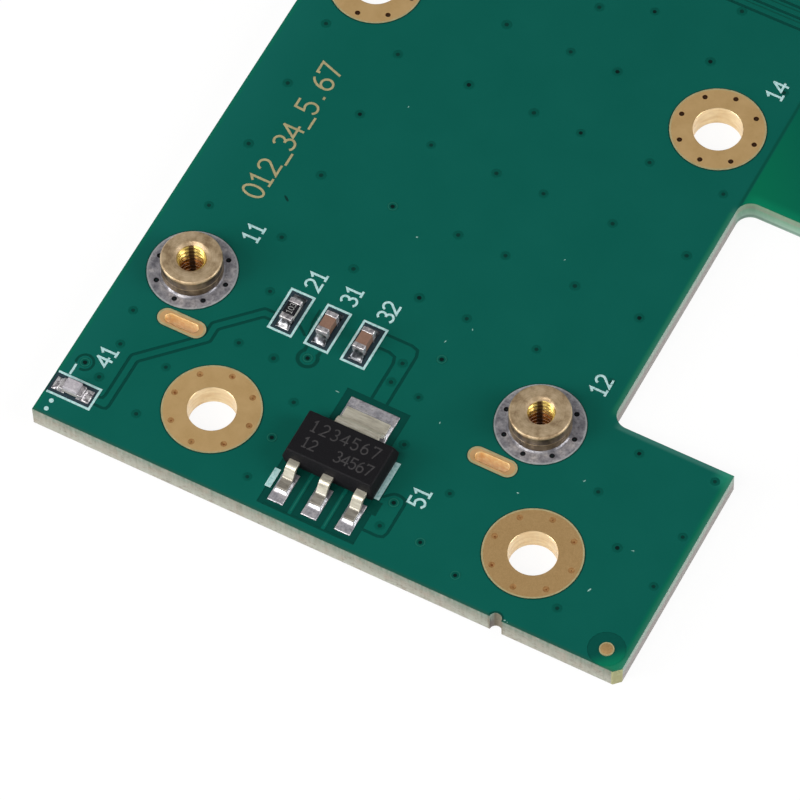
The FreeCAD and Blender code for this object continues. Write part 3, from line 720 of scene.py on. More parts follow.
def all_looks():
    """Every material by the short name that the pieces ask for."""
    return {
        "board": board_look(),
        "gold": gold_look(),
        "finger": gold_look(),
        # Painted light: the slot wall's gold is brighter and paler than the lands', for the light from the
        # white table below.
        "orange": speckled(
            "orange_gold", (3600, 3),
            ((0.3, (240, 194, 124)), (0.55, (250, 212, 146)), (0.72, (255, 230, 172))),
            ((7000, 2), 0.3, 0.008), roughness=0.36, metallic=0.25),
        "slot_gold": speckled(
            "slot_gold", (1600, 3), ((0.3, (208, 164, 112)), (0.7, (226, 182, 128))),
            ((9000, 2), 0.25, 0.005), roughness=0.42, metallic=0.4),
        # Painted reflection: the barrels' gold is paler than the lands', for the white table seen through the
        # holes.
        "barrel": speckled(
            "barrel_gold", (1.0, 3, 0.6, (900, 900, 3600)), ((0.3, (226, 192, 138)), (0.7, (250, 228, 184))),
            ((5200, 2), 0.25, 0.006), roughness=0.34, metallic=0.5),
        # Painted shade: the dimples' gold is darker than the lands'.
        "dimple": speckled(
            "dimple_gold", (5200, 2), ((0.3, (146, 102, 54)), (0.7, (186, 142, 90))), ((7000, 2), 0.3, 0.006),
            roughness=0.45, metallic=0.3),
        "rim": speckled(
            "land_rim", (3000, 2), ((0.3, (176, 166, 122)), (0.7, (196, 184, 140))),
            roughness=0.5, metallic=0.35),
        "tin": tin_look("tinned"),
        "pad": tin_look("tinned_pad", lift=16, solder_above=LAND + 0.03),
        "foot_solder": tin_look("foot_solder", shade=0.5),
        "tin_rim": speckled(
            "tin_rim", (3000, 2), ((0.3, (176, 180, 184)), (0.7, (206, 210, 212))),
            roughness=0.4, metallic=0.5),
        "solder": speckled(
            "solder", (2300, 3), ((0.34, (78, 80, 84)), (0.5, (104, 106, 111)), (0.7, (206, 206, 210))),
            ((2300, 3), 0.15, 0.02), ((2300, 3), 0.24, 0.36), metallic=1.0),
        "brass": brass_look(),
        "legend": speckled(
            "legend_white", (5200, 3),
            ((0.25, (138, 186, 186)), (0.5, (176, 213, 213)), (0.7, (194, 225, 225))),
            ((9000, 2), 0.3, 0.006), roughness=0.55, specular=0.3),
        # Painted shade: deep_grey and deep_brown colour the cups that close the open small holes.
        "deep_grey": coat_look("deep_grey", (22, 22, 26), 0.5),
        "deep_brown": coat_look("deep_brown", (52, 28, 12), 0.5),
        "via_brown": coat_look("via_brown", (122, 72, 38), 0.5),
        "fiducial_ground": fiducial_ground_look(),
        "halo": coat_look("via_halo", (6, 82, 71)),
        # Painted shade: via_dark and via_dim colour the dots over the covered holes; via_dim also colours a
        # real dark mark in the coat.
        "dark": coat_look("via_dark", (4, 30, 28), 0.5),
        "dim": coat_look("via_dim", (4, 54, 47), 0.5),
        "gap": coat_look("etched_gap", (8, 68, 59)),
        "hair": coat_look("hair_line", (10, 78, 67)),
        "light_ring": coat_look("light_ring", (30, 104, 90)),
        "ground": coat_look("bare_ground", (46, 62, 70), 0.45),
        "case": speckled(
            "black_case", (15000, 2), ((0.25, (18, 18, 20)), (0.6, (25, 24, 27)), (0.85, (40, 39, 42))),
            ((15000, 2), 0.35, 0.006), ((3000, 2), 0.5, 0.64), roughness=0.56, specular=0.12),
        "mark": speckled(
            "marking_grey", (14000, 2), ((0.3, (44, 43, 45)), (0.7, (70, 68, 69))),
            roughness=0.6, specular=0.3),
        "glaze": speckled(
            "black_glaze", (6000, 2), ((0.3, (18, 18, 22)), (0.7, (32, 31, 36))), ((3000, 2), 0.1, 0.01),
            roughness=0.25),
        "alumina": speckled(
            "alumina", (9000, 3), ((0.3, (206, 206, 202)), (0.7, (232, 232, 228))), ((12000, 2), 0.3, 0.004)),
        "value": coat_look("value_grey", (168, 168, 166), 0.6),
        "brown": brown_look(),
        "terminal": terminal_look("terminal", 134, 0.16),
        "crinkled": terminal_look("crinkled_solder", 104, 0.1),
        "lens": lens_look(),
        "led_base": speckled(
            "led_base", (6000, 2), ((0.3, (150, 148, 146)), (0.7, (180, 177, 172))), ((9000, 2), 0.3, 0.006)),
        "lead": lead_look("lead_frame", 0.65, 0.6),
        "tab": lead_look("tab_metal", 0.45, 0.1),
        "housing": speckled(
            "socket_plastic", (1.0, 2, 0.5, (1800, 9000, 9000)),
            ((0.3, (22, 22, 24)), (0.62, (32, 32, 35)), (0.8, (52, 52, 55))), ((7000, 3), 0.35, 0.01),
            ((1200, 2), 0.44, 0.58), specular=0.4),
        "contact": speckled(
            "contact_gold", (3000, 2), ((0.3, (206, 170, 96)), (0.7, (228, 194, 122))),
            ((6000, 2), 0.2, 0.006), roughness=0.28, metallic=1.0),
        "speck": speckled(
            "pale_speck", (5000, 2), ((0.3, (120, 176, 164)), (0.7, (176, 210, 202))), roughness=0.6),
    }


# Plated holes

def barrel(x, y, hole, low, high):
    """The plated wall of a hole, a little flared where it meets the lands."""
    outer = hole + PLATING
    profile = [(hole + FLARE, low), (hole, low + FLARE), (hole, high - FLARE), (hole + FLARE, high),
               (outer, high), (outer, low)]
    return lathe(profile, x, y)


def edging(name, grown, rim_width, gap_width, rim_look):
    """The pale rim of a land and the gap round it; grown(d) gives the land's outline d wider all round."""
    rim = plate([grown(0.015), grown(0.015 - rim_width)], *RIM)
    piece(name + "_rim", Shape().add(rim), [rim_look])
    gap = plate([grown(gap_width), grown(-0.01)], *GAP)
    piece(name + "_clearance", Shape().add(gap), ["gap"])


def ringed_hole(name, x, y, hole, land, metal, open_vias):
    """Both lands with the barrel between them, and the ring of small holes in the upper one."""
    spots = circle(x, y, land - RING_VIA_EDGE, RING_VIAS)
    via = RING_VIA if open_vias else COVERED_VIA
    rims = [circle(x, y, land, LAND_CORNERS), circle(x, y, hole + FLARE)]
    shape = Shape().add(plate(rims + [circle(*spot, via, 18) for spot in spots], 0.0, LAND))
    shape.add(plate(rims, BOARD_BOTTOM - LAND, BOARD_BOTTOM))
    shape.add(barrel(x, y, hole, BOARD_BOTTOM - LAND, LAND), 1)
    piece(name, shape, [metal, "barrel"], nodes=[name])
    if open_vias:
        # Painted shade: a shallow cup, dark grey in tinned lands and dark brown in gold ones, closes each
        # open small hole in place of its dark depth.
        cup = [(via + 0.01, 0.0), (via + 0.01, 0.012), (0.02, 0.004), (0.02, 0.0)]
        inside = "deep_grey" if metal == "tin" else "deep_brown"
    else:
        # Painted shade: each covered small hole is a shallow dimple in a darker gold than the land.
        cup = [(via + 0.01, 0.0), (via + 0.01, 0.033), (0.12, 0.020), (0.03, 0.014), (0.03, 0.0)]
        inside = "dimple"
    cups = Shape()
    for spot in spots:
        cups.add(lathe(cup, *spot, 16))
        if not open_vias:
            pit = circle(spot[0] + 0.02, spot[1] - 0.02, random.uniform(0.03, 0.09), 12)
            cups.add(prism(pit, 0.002, 0.023), 1)
    piece(name + "_vias", cups, [inside, "via_brown"])
    edging(name, lambda growth: circle(x, y, land + growth, LAND_CORNERS), 0.10, 0.09,
           "tin_rim" if metal == "tin" else "rim")


def slot_liner(name, x, y):
    """A plated oblong slot with its lands; its mouth flares as the holes' barrels do."""
    length, width = SLOT_LAND
    mouth_length, mouth_width = SLOT_MOUTH

    def mouth(growth):
        return oblong(x, y, mouth_length + growth, mouth_width + growth)
    shape = Shape()
    for low, high in ((0.0, LAND), (BOARD_BOTTOM - LAND, BOARD_BOTTOM)):
        shape.add(plate([oblong(x, y, length, width), mouth(2 * FLARE)], low, high))
    low = BOARD_BOTTOM - LAND
    wall = [[(px, py, z) for px, py in mouth(growth)]
            for growth, z in ((2 * FLARE, low), (0.0, low + FLARE), (0.0, LAND - FLARE), (2 * FLARE, LAND),
                              (3 * FLARE, LAND), (3 * FLARE, low))]
    shape.add(rows(wall, True), 1)
    piece(name, shape, ["slot_gold", "orange"], nodes=[name])
    edging(name, lambda growth: oblong(x, y, length + 2 * growth, width + 2 * growth), 0.14, 0.08, "rim")


def holes():
    for side, x in POST_PLACES.items():
        ringed_hole("land_post_" + side, x, 0, CARD_HOLE, POST_LAND, "tin", True)
    for side, x in POST_PLACES.items():
        ringed_hole("land_half_" + side, x, HALF_ROW, CARD_HOLE, HALF_LAND, "gold", True)
    for side, x in BRACKET_PLACES.items():
        ringed_hole("land_bracket_" + side, x, BRACKET_ROW, BRACKET_HOLE, BRACKET_LAND, "gold", False)
    for side, x in SLOT_PLACES.items():
        slot_liner("slot_liner_" + side, x, SLOT_ROW)


# Threaded posts

def post(side, x):
    """A turned brass post: bevelled top edge, countersunk mouth and a real M2 thread."""
    step = 2 * math.pi / POST_SPOKES
    mouth, mouth_depth = POST_MOUTHS[side]

    def ring(radii, z):
        return [(x + radius * math.cos(n * step), radius * math.sin(n * step), z)
                for n, radius in enumerate(radii)]

    def threaded(z):
        cone = THREAD_MINOR + max(0.0, z - (POST_TOP - mouth_depth)) * (mouth - THREAD_MINOR) / mouth_depth
        for n in range(POST_SPOKES):
            phase = (z / THREAD_PITCH - n / POST_SPOKES) % 1.0
            groove = max(0.0, 1.0 - abs(phase - 0.5) * 2 * 1.25)
            yield max(THREAD_MINOR + (THREAD_MAJOR - THREAD_MINOR) * groove, cone)

    plain_rim, levels_per_turn = 0.05, 14
    height = POST_TOP - plain_rim - POST_FOOT
    levels = int(height / THREAD_PITCH * levels_per_turn)
    grid = []
    for level in range(levels + 1):
        z = POST_FOOT + height * level / levels
        grid.append(ring(threaded(z), z))
    profile = [(mouth - 0.01, POST_TOP - 0.01), (mouth + 0.03, POST_TOP), (1.45, POST_TOP), (1.80, POST_TOP)]
    profile += [(radius, POST_TOP - drop) for radius, drop in (
        (1.84, 0.008), (1.88, 0.028), (1.915, 0.06), (1.94, 0.11), (POST_RADIUS, 0.17))]
    profile += [(POST_RADIUS, 0.80), (1.94, 0.76), (1.94, 0.70), (POST_RADIUS, 0.66), (POST_RADIUS, LAND),
                (POST_SHANK, LAND), (POST_SHANK, POST_FOOT)]
    grid += [ring([radius] * POST_SPOKES, z) for radius, z in profile]
    shape = Shape().add(rows(grid, True))
    piece("post_" + side, shape, ["brass"], nodes=["post_" + side], smooth=32)


def post_solder(side, x):
    """Solder drawn up the foot of a post, uneven all round."""
    count = 120
    spokes = 10
    grid = [[] for _ in range(spokes + 1)]
    for n in range(count):
        angle = 2 * math.pi * n / count
        way = Vector((math.cos(angle) * 1.7, math.sin(angle) * 1.7, SOLDER_SEEDS[side]))
        reach = 0.17 + 0.10 * noise.noise(way) + 0.05 * noise.noise(way * 4)
        height = 0.09 + 0.08 * noise.noise(way + Vector((0, 0, 9))) + 0.03 * noise.noise(way * 5)
        for k, ring in enumerate(grid):
            t = k / spokes
            radius = POST_RADIUS - 0.005 + reach * t
            z = LAND - 0.004 + height * (1 - t) ** 2.2 + 0.016 * math.sin(math.pi * min(1.0, t * 1.02))
            ring.append((x + radius * math.cos(angle), radius * math.sin(angle), z))
    under = [[(px, py, LAND - 0.012) for px, py, _ in ring] for ring in (grid[-1], grid[0])]
    shape = Shape().add(rows(grid + under, True))
    piece("post_solder_" + side, shape, ["foot_solder"], nodes=["post_solder_" + side])


# Covered holes and other marks in the coat

RINGED_VIAS = ((10.10, -8.30), (21.56, -10.65), (24.49, -11.70), (8.80, 9.80), (16.70, 1.35), (9.35, -2.33),
               (-2.64, -8.85), (18.85, -8.95))


def via_places():
    """The small covered holes that tie the copper areas together."""
    xs = (-1.40, 3.75, 8.80, 13.40, 16.70, 21.52, 26.65)
    places = [(x, y) for y in (20.00, 14.92, 4.65) for x in xs]
    places += [(x, 9.80) for x in xs[:-1]] + [(26.10, 9.55), (21.56, 32.84)]
    places += [(8.80, 25.15), (13.35, 25.15), (16.65, 25.15), (13.40, 29.00), (16.67, 30.30), (21.50, 28.50),
               (26.65, 28.50), (16.70, 1.35), (16.70, -1.70), (14.70, 0.00), (14.70, -1.50), (5.00, 0.85),
               (5.07, -3.30), (7.50, -3.30), (-1.85, -4.22), (-1.36, -6.70), (-1.36, -9.36), (1.94, -6.88),
               (1.94, -10.62), (-2.64, -8.85), (9.35, -2.33), (10.10, -5.50), (10.10, -8.30), (10.10, -11.40),
               (17.50, -5.05), (18.85, -8.95), (18.85, -10.75), (21.56, -6.83), (21.56, -10.65),
               (24.49, -11.70), (29.48, -2.60), (30.47, 0.92), (35.43, 1.27), (35.43, -3.08),
               (35.41, -6.92), (32.27, -5.55), (30.96, -10.89)]
    places += [(x, y) for y in (35.40, 40.60) for x in (-1.40, 8.80, 16.70, 24.90)]
    return places


def covered_holes():
    """A low bump round each covered hole, on both faces, with a dot that is dark or faint."""
    bump = ((0.13, 0.004), (0.17, 0.013), (0.22, 0.015), (0.28, 0.008), (0.34, 0.0005), (0.34, -0.002),
            (0.13, -0.002))
    halo = Shape()
    clear = Shape()
    faint = Shape()
    for x, y in via_places():
        wide = random.uniform(0.90, 1.06)
        # Painted shade: each dot, dark at some holes and faint at the rest, stands in for the dark of the
        # hole under the coat.
        dot = clear if (x, y) in RINGED_VIAS or random.random() < 0.15 else faint
        for side, face in ((1, 0.0), (-1, BOARD_BOTTOM)):
            halo.add(lathe([(r * wide, face + side * z) for r, z in bump], x, y, 20))
            spot = circle(x, y, 0.145 * wide, 14)
            dot.add(prism(spot, *sorted((face - side * 0.002, face + side * 0.0055))))
    piece("via_halos", halo, ["halo"])
    piece("via_dots", clear, ["dark"])
    piece("via_faint_dots", faint, ["dim"])


def etched_lines():
    """Gaps too fine for the board's own relief, round the ringed holes and between the chips."""
    keyhole = [(8.90, -1.60), (8.90, -1.92)] + arc(9.35, -2.33, 0.62, 0.62, 140, 400, 24)
    keyhole += [(9.85, -1.92), (9.85, -1.60)]
    shape = Shape()
    for path, width in (
            (keyhole, 0.24), ([(8.40, 1.10), (8.40, 0.00)], 0.17),
            ([(7.75, -0.45), (7.95, -0.60), (8.45, -1.00)], 0.17),
            ([(8.42, 0.00), (8.55, -0.70), (8.90, -1.60)], 0.12),
            (arc(-2.65, -8.85, 0.55, 0.55, 205, -100, 28), 0.17), ([(17.975, -10.30), (17.975, -9.30)], 0.65),
            ([(11.85, -12.60), (18.05, -12.60)], 0.12)):
        shape.add(prism(band(path, width), *THIN))
    first_row = 33.25
    for y, x in ((first_row, 17.50), (34.00, 18.30), (34.75, 19.10), (35.50, 19.90)):
        rise = y + (first_row - y) * 0.2 + 1.4
        line = [(20.62, y), (x + rise - y, y), (x, rise), (x, 43.00)]
        shape.add(prism(band(line, 0.20), *THIN))
    shape.add(prism(band(arc(*NOTCH, 0.46, 0.46, 8, 172, 16), 0.11), *THIN))
    piece("etched_lines", shape, ["gap"])
    hair = Shape()
    for y in (33.70, 34.45):
        hair.add(block(20.60, 32.50, y - 0.045, y + 0.045, *THIN))
    piece("hair_lines", hair, ["hair"])
    pale = Shape()
    for x, y in RINGED_VIAS:
        pale.add(plate([circle(x, y, 0.31, 24), circle(x, y, 0.24, 24)], 0.014, 0.018))
    piece("via_light_rings", pale, ["light_ring"])
    streaks = Shape()
    for x in (13.57, 15.87):
        streaks.add(prism(band([(x, -9.90), (x, -12.30)], 0.07), 0.0005, 0.003))
    piece("track_edges", streaks, ["light_ring"])


def specks():
    """Small chips, scratches and a dark mark in the coat."""
    angles = [math.radians(n * 30) for n in range(12)]
    shape = Shape()
    marks = [(32.10, -8.90, 0.34, 0.09, 70), (33.20, -5.30, 0.22, 0.05, 20), (28.40, -2.30, 0.20, 0.05, 60),
             (18.70, -2.70, 0.18, 0.05, 100), (11.20, 8.50, 0.16, 0.05, 30), (16.30, 2.60, 0.22, 0.05, 75),
             (17.40, 4.10, 0.18, 0.05, 120), (25.20, -4.90, 0.16, 0.05, 10), (20.10, 11.20, 0.15, 0.05, 50),
             (6.20, 16.80, 0.14, 0.05, 80), (30.20, -7.40, 0.18, 0.04, 130), (12.10, -3.60, 0.30, 0.05, 0),
             (28.55, -13.08, 0.15, 0.06, 20), (28.75, -13.13, 0.10, 0.04, 110)]
    for x, y, length, width, angle in marks:
        outline = [(length / 2 * math.cos(a) * random.uniform(0.75, 1.0), width / 2 * math.sin(a))
                   for a in angles]
        shape.add(turned(prism(outline, 0.0, 0.006), x, y, angle))
    piece("specks", shape, ["speck"])
    outline = [(0.26 * math.cos(a), 0.08 * math.sin(a)) for a in angles]
    dark = Shape().add(turned(prism(outline, 0.0, 0.005), 2.65, 7.30, -37))
    piece("dark_mark", dark, ["dim"])


# Print

GLYPHS = {
    "0": [arc(0.5, 0.75, 0.38, 0.70, 0, 360, 24)],
    "1": [[(0.18, 1.18), (0.50, 1.45), (0.50, 0.05)], [(0.18, 0.05), (0.82, 0.05)]],
    "2": [arc(0.5, 1.05, 0.38, 0.40, 165, -35, 14) + [(0.10, 0.05), (0.92, 0.05)]],
    "3": [arc(0.48, 1.09, 0.34, 0.36, 150, -88, 12), arc(0.48, 0.40, 0.40, 0.36, 88, -150, 14)],
    "4": [[(0.70, 0.00), (0.70, 1.45)], [(0.74, 1.45), (0.06, 0.45), (0.98, 0.45)]],
    "5": [[(0.86, 1.45), (0.20, 1.45), (0.15, 0.82)] + arc(0.48, 0.46, 0.40, 0.44, 118, -150, 14)],
    "6": [arc(0.5, 0.44, 0.38, 0.40, 0, 360, 22), arc(0.86, 0.55, 0.74, 0.90, 175, 105, 8)],
    "7": [[(0.10, 1.25), (0.10, 1.45), (0.90, 1.45), (0.42, 0.00)]],
    "_": [[(0.02, -0.12), (0.98, -0.12)]],
    ".": [[(0.40, 0.10), (0.60, 0.10)]],
}


def digits(text, x, y, tall, pitch, stroke, low, high):
    """Plain numbers that read along +Y, their feet towards +X at x, from y on."""
    shape = Shape()
    unit = tall / GLYPH_HEIGHT
    for index, letter in enumerate(text):
        for layer, path in enumerate(GLYPHS[letter]):
            points = [(x - v * unit, y + index * pitch + u * unit) for u, v in path]
            shape.add(prism(band(points, stroke), low, high + 0.0015 * layer))
    return shape


def legend():
    """The white print: frames round the chips, bars, dots and plain numbers, and the gold numbers."""
    lines = Shape()
    low, high = -1.52, 1.71
    for x, _ in CHIP_PLACES:
        outer = rectangle(x - 0.86, x + 0.86, low, high)
        inner = rectangle(x - 0.71, x + 0.71, low + LINE, high - LINE)
        lines.add(plate([outer, inner], *INK))
    lines.add(prism(band([(-3.75, -10.13), (-0.80, -10.13), (-0.80, -11.68), (-3.75, -11.68)], LINE), *INK))
    lines.add(block(-3.13, -2.98, -10.00, -9.20, *INK))
    for y in (-12.18, -12.80):
        lines.add(prism(circle(-3.13, y, 0.15, 20), *INK))
    lines.add(block(17.62, 17.97, -9.23, -6.36, *INK))
    lines.add(block(11.30, 11.70, -11.45, -10.05, *INK))
    for x in (-3.40, 27.45):
        lines.add(prism(band([(x, 43.60), (x, 51.00)], LINE), *INK))
    piece("legend_lines", lines, ["legend"])
    marks = Shape()
    for text, x, y in (("11", 2.60, 3.42), ("21", 7.70, 2.12), ("31", 10.20, 2.12), ("32", 12.75, 2.12),
                       ("12", 26.78, 3.42), ("14", 26.78, 27.70), ("41", -1.13, -8.60), ("51", 20.62, -8.62)):
        number = digits(text, x, y, 1.10, 0.74, LINE, *INK)
        marks.add((number.points, number.faces))
    piece("legend_numbers", marks, ["legend"], smooth=0)
    gold = digits("012_34_5.67", 1.30, 6.35, 1.50, 1.01, 0.155, 0.0, 0.016)
    piece("gold_numbers", gold, ["rim"], smooth=0)


# Chips

def chip_joint(height, bulge, seed):
    """Pad and solder at the -x end of a chip drawn about the origin, up its end and round its foot."""
    pad_end, pad_start, half_pad = -1.28, -0.42, 0.46
    half_end, ridge, reach = 0.42, 0.04, 0.46

    def top(x, y):
        out = -x - CHIP_HALF
        side = abs(y) / half_pad
        lump = 0.05 * noise.noise(Vector((x * 2.6, y * 3.2, seed)))
        if out >= 0:
            rise = height * max(0.0, 1 - out / reach) ** 2.3
            rise = rise * (1 - side ** 4) + bulge * math.sin(math.pi * min(1.0, out / 0.48)) * (1 - side ** 4)
        else:
            beside = max(0.0, 1 - abs(abs(y) - half_end) / ridge)
            rise = height * 0.35 * beside * max(0.0, 1 + out / 0.38)
        edge = min(1.0, (half_pad - abs(y)) / PAD_SLOPE, (x - pad_end) / PAD_SLOPE)
        return max(FILM, 0.034 * edge + max(0.0, rise + lump * min(1.0, rise / 0.10)))
    return field(pad_end, pad_start, -half_pad, half_pad, 34, 30, top, RELIEF)


def terminals(height, wrap):
    shape = Shape()
    for side in (1, -1):
        low, high = sorted((side * CHIP_HALF, side * (CHIP_HALF - wrap)))
        shape.add(block(low, high, -0.405, 0.405, 0.0, height + 0.004))
    return shape


def chip_bodies(spots, *bodies):
    """Blocks about a chip's middle, each as (node, half length, half width, low, high, look, slot, bevel);
    the slot is not used.
    """
    for node, along, across, low, high, look, slot, bevel in bodies:
        body = Shape().add(block(-along, along, -across, across, low, high))
        spot = spots[node.rsplit("_", 1)[0]]
        piece(node, shift_shape(body, *spot, LAND), [look], nodes=[node], smooth=30, bevel=bevel)


def chips():
    chip_names = ("resistor", "capacitor_left", "capacitor_right")
    spots = {name: (*spot, 90) for name, spot in zip(chip_names, CHIP_PLACES)}
    spots["led"] = (-2.32, -10.92, 0)
    heights = {"resistor": (0.45, 0.34), "led": (0.30, 0.26)}
    for index, (name, (x, y, angle)) in enumerate(spots.items()):
        tall, climb = heights.get(name, (0.80, 0.58))
        joint = Shape()
        for turn, share, bulge in ((0, 1.0, 0.05), (180, 0.75, 0.01)):
            form = chip_joint(climb * share, bulge, index * 3 + turn)
            joint.add(turned(turned(form, 0, 0, turn), x, y, angle))
        piece(name + "_solder", joint, ["crinkled" if name == "led" else "solder"],
              nodes=[name + "_solder"], smooth=50)
        ends = shift_shape(terminals(tall, 0.33 if name == "led" else 0.38), x, y, angle, LAND)
        piece(name + "_terminals", ends, ["terminal"], nodes=[name + "_terminals"], smooth=30,
              bevel=0.07)
    chip_bodies(spots,
                ("capacitor_left_core", 0.78, 0.38, 0.03, 0.775, "brown", "brown_ceramic", 0.035),
                ("capacitor_right_core", 0.78, 0.38, 0.03, 0.775, "brown", "brown_ceramic", 0.035),
                ("resistor_core", 0.77, 0.40, 0.03, 0.42, "alumina", "alumina", 0.012),
                ("resistor_glaze", 0.43, 0.405, 0.36, 0.455, "glaze", "black_glaze", 0.025))
    x, y, _ = spots["resistor"]
    value = digits("103", x + 0.20, y - 0.385, 0.41, 0.256, 0.034, LAND + 0.452, LAND + 0.458)
    piece("resistor_value", value, ["value"], smooth=0)
    chip_bodies(spots, ("led_base", 0.77, 0.40, 0.03, 0.285, "led_base", "led_base", 0.02))

    half_length, half_width, foot = 0.49, 0.40, 0.30

    def lens_top(px, py):
        inset = min(half_length - abs(px), half_width - abs(py))
        dome = 0.35 * min(1.0, 0.72 + inset / 0.20)
        return foot + dome + 0.012 * noise.noise(Vector((px * 9, py * 9, 4)))
    lens = Shape().add(field(-half_length, half_length, -half_width, half_width, 30, 24, lens_top, foot))
    piece("led_lens", shift_shape(lens, *spots["led"], LAND), ["lens"], nodes=["led_lens"],
          smooth=50)
    grounds = Shape()
    for cx, cy in CHIP_PLACES:
        grounds.add(block(cx - 0.705, cx + 0.705, cy - 1.47, cy + 1.46, *GROUND))
    grounds.add(block(-3.80, -0.88, -11.60, -10.21, *GROUND))
    piece("chip_grounds", grounds, ["ground"])


# Voltage regulator

def regulator_case():
    """The moulded case, widest at its parting line, and its marking."""
    cx, cy = REGULATOR
    grid = []
    for inset, z in ((0.11, 0.08), (0.0, 0.84), (0.22, 1.60)):
        left, right, half = 3.20 - inset, 3.04 - inset, 1.75 - inset
        corners = rectangle(cx - left, cx + right, cy - half, cy + half)
        grid.append([(x, y, z) for x, y in corners])
    points, faces = rows(grid)
    shape = Shape().add((points, faces + [[3, 2, 1, 0], [8, 9, 10, 11]]))
    piece("regulator_body", shape, ["case"], nodes=["regulator_body"], smooth=30, bevel=0.09)
    marks = Shape()
    for text, x, y, tall, pitch in (("1234567", -2.40, 0.22, 0.84, 0.69), ("12", -2.35, -0.98, 0.76, 0.50),
                                    ("34567", -0.15, -1.02, 0.80, 0.52)):
        unit = tall / GLYPH_HEIGHT
        for index, letter in enumerate(text):
            for layer, path in enumerate(GLYPHS[letter]):
                line = [(cx + x + index * pitch + u * unit * 0.95, cy + y + v * unit) for u, v in path]
                marks.add(prism(band(line, 0.095), 1.597, 1.601 + 0.0008 * layer))
    piece("regulator_marking", marks, ["mark"], smooth=0)


def gull_wing(x, width, side):
    """A lead bent down from the case to its pad, drawn as a (y, z) profile pulled along x."""
    cy = REGULATOR[1]
    half_case, sunk_in_case, exit_height = 1.75, 0.09, 0.84
    thickness, foot, bend = 0.26, 0.85, 0.34
    toe = cy + side * LEAD_TOE
    ankle = toe - side * foot
    knee = (cy + side * half_case + ankle) / 2
    low = LAND + thickness / 2
    start = cy + side * (half_case - sunk_in_case)
    path = rounded([(start, exit_height), (knee, exit_height), (ankle, low), (toe, low)], bend)
    outline = band(path, thickness)
    count = len(outline)
    points = [(x - width / 2, py, pz) for py, pz in outline] + [(x + width / 2, py, pz) for py, pz in outline]
    faces = []
    for n in range(count // 2 - 1):
        left = [n, n + 1, count - 2 - n, count - 1 - n]
        faces.append(left)
        faces.append([count + index for index in left][::-1])
    faces += [[n, count + n, count + (n + 1) % count, (n + 1) % count] for n in range(count)]
    return Shape().add((points, faces))


def regulator_leads():
    for number, x in enumerate(LEAD_XS, 1):
        name = "regulator_lead_%d" % number
        piece(name, gull_wing(x, LEAD_WIDTH, -1), ["lead"], nodes=[name], smooth=35, bevel=0.03)
    piece("regulator_tab", gull_wing(REGULATOR[0], TAB_WIDTH, 1), ["tab"],
          nodes=["regulator_tab"], smooth=35, bevel=0.03)


def regulator_solder():
    """Tinned pads, with solder drawn up round the foot of each lead."""
    shape = Shape()
    cy = REGULATOR[1]
    past_toe, pad_length, foot = 0.85, 2.30, 0.80
    climb, reach = 0.13, 0.25
    places = [(x, LEAD_WIDTH, 0.525, -1, 40) for x in LEAD_XS] + [(REGULATOR[0], TAB_WIDTH, 1.68, 1, 90)]
    for x, width, half_pad, side, across in places:
        toe = cy + side * LEAD_TOE
        end = toe + side * past_toe
        pad_low, pad_high = sorted((end, end - side * pad_length))
        foot_low, foot_high = sorted((toe, toe - side * foot))

        def top(px, py):
            away = math.hypot(max(0.0, abs(px - x) - width / 2), max(0.0, foot_low - py, py - foot_high))
            edge = min(1.0, min(half_pad - abs(px - x), py - pad_low, pad_high - py) / PAD_SLOPE)
            ripple = 0.010 * noise.noise(Vector((px * 3, py * 3, 2)))
            mound = climb * max(0.0, 1 - away / reach) ** 1.4
            return FILM + (LAND - FILM + ripple + mound) * max(0.0, edge)
        shape.add(field(x - half_pad, x + half_pad, pad_low, pad_high, across, 60, top, RELIEF))
    piece("regulator_solder", shape, ["pad"], nodes=["regulator_solder"], smooth=50)


# Card socket and edge connector

def contact_columns(shift):
    """The places of one row of contacts, with the gap for the card's key."""
    start = POSTS_APART / 2 - 28 * CONTACT_PITCH / 2 + shift
    return [start + step * CONTACT_PITCH for step in range(29) if not 18 <= step < 21]


def socket_joints():
    """Pads and solder under the feet of the socket's contacts and ears."""
    pads = Shape()
    solder = Shape()
    pad_top, under_solder = 0.012, 0.004
    half_pad, half_contact = 0.20, 0.15
    for shift, toe, side in ((-0.20, 43.25, -1), (0.20, 51.35, 1)):
        for x in contact_columns(shift):
            start, end = sorted((toe + side * 0.35, toe - side * 0.60))
            pads.add(block(x - half_pad, x + half_pad, start, end, 0.0, pad_top))

            def top(px, py):
                away = math.hypot(max(0.0, abs(px - x) - half_contact), max(0.0, (py - toe) * side))
                return pad_top + 0.09 * max(0.0, 1 - away / 0.16) ** 2
            start, end = sorted((toe + side * 0.30, toe - side * 0.25))
            solder.add(field(x - half_pad, x + half_pad, start, end, 6, 8, top, under_solder))
    ear_row, ear_width, half_ear = 46.45, 0.55, 1.20
    for face, side in ((-2.90, -1), (27.10, 1)):
        start, end = sorted((face + side * 0.02, face + side * 0.92))
        pads.add(block(start, end, ear_row - 1.50, ear_row + 1.50, 0.0, pad_top))

        def ear(px, py):
            beside = max(0.0, (px - face) * side - ear_width)
            away = math.hypot(beside, max(0.0, abs(py - ear_row) - half_ear))
            return pad_top + 0.12 * max(0.0, 1 - away / 0.22) ** 2
        solder.add(field(start, end, ear_row - 1.45, ear_row + 1.45, 12, 34, ear, under_solder))
    piece("socket_pads", pads, ["pad"])
    piece("socket_solder", solder, ["solder"], smooth=50)


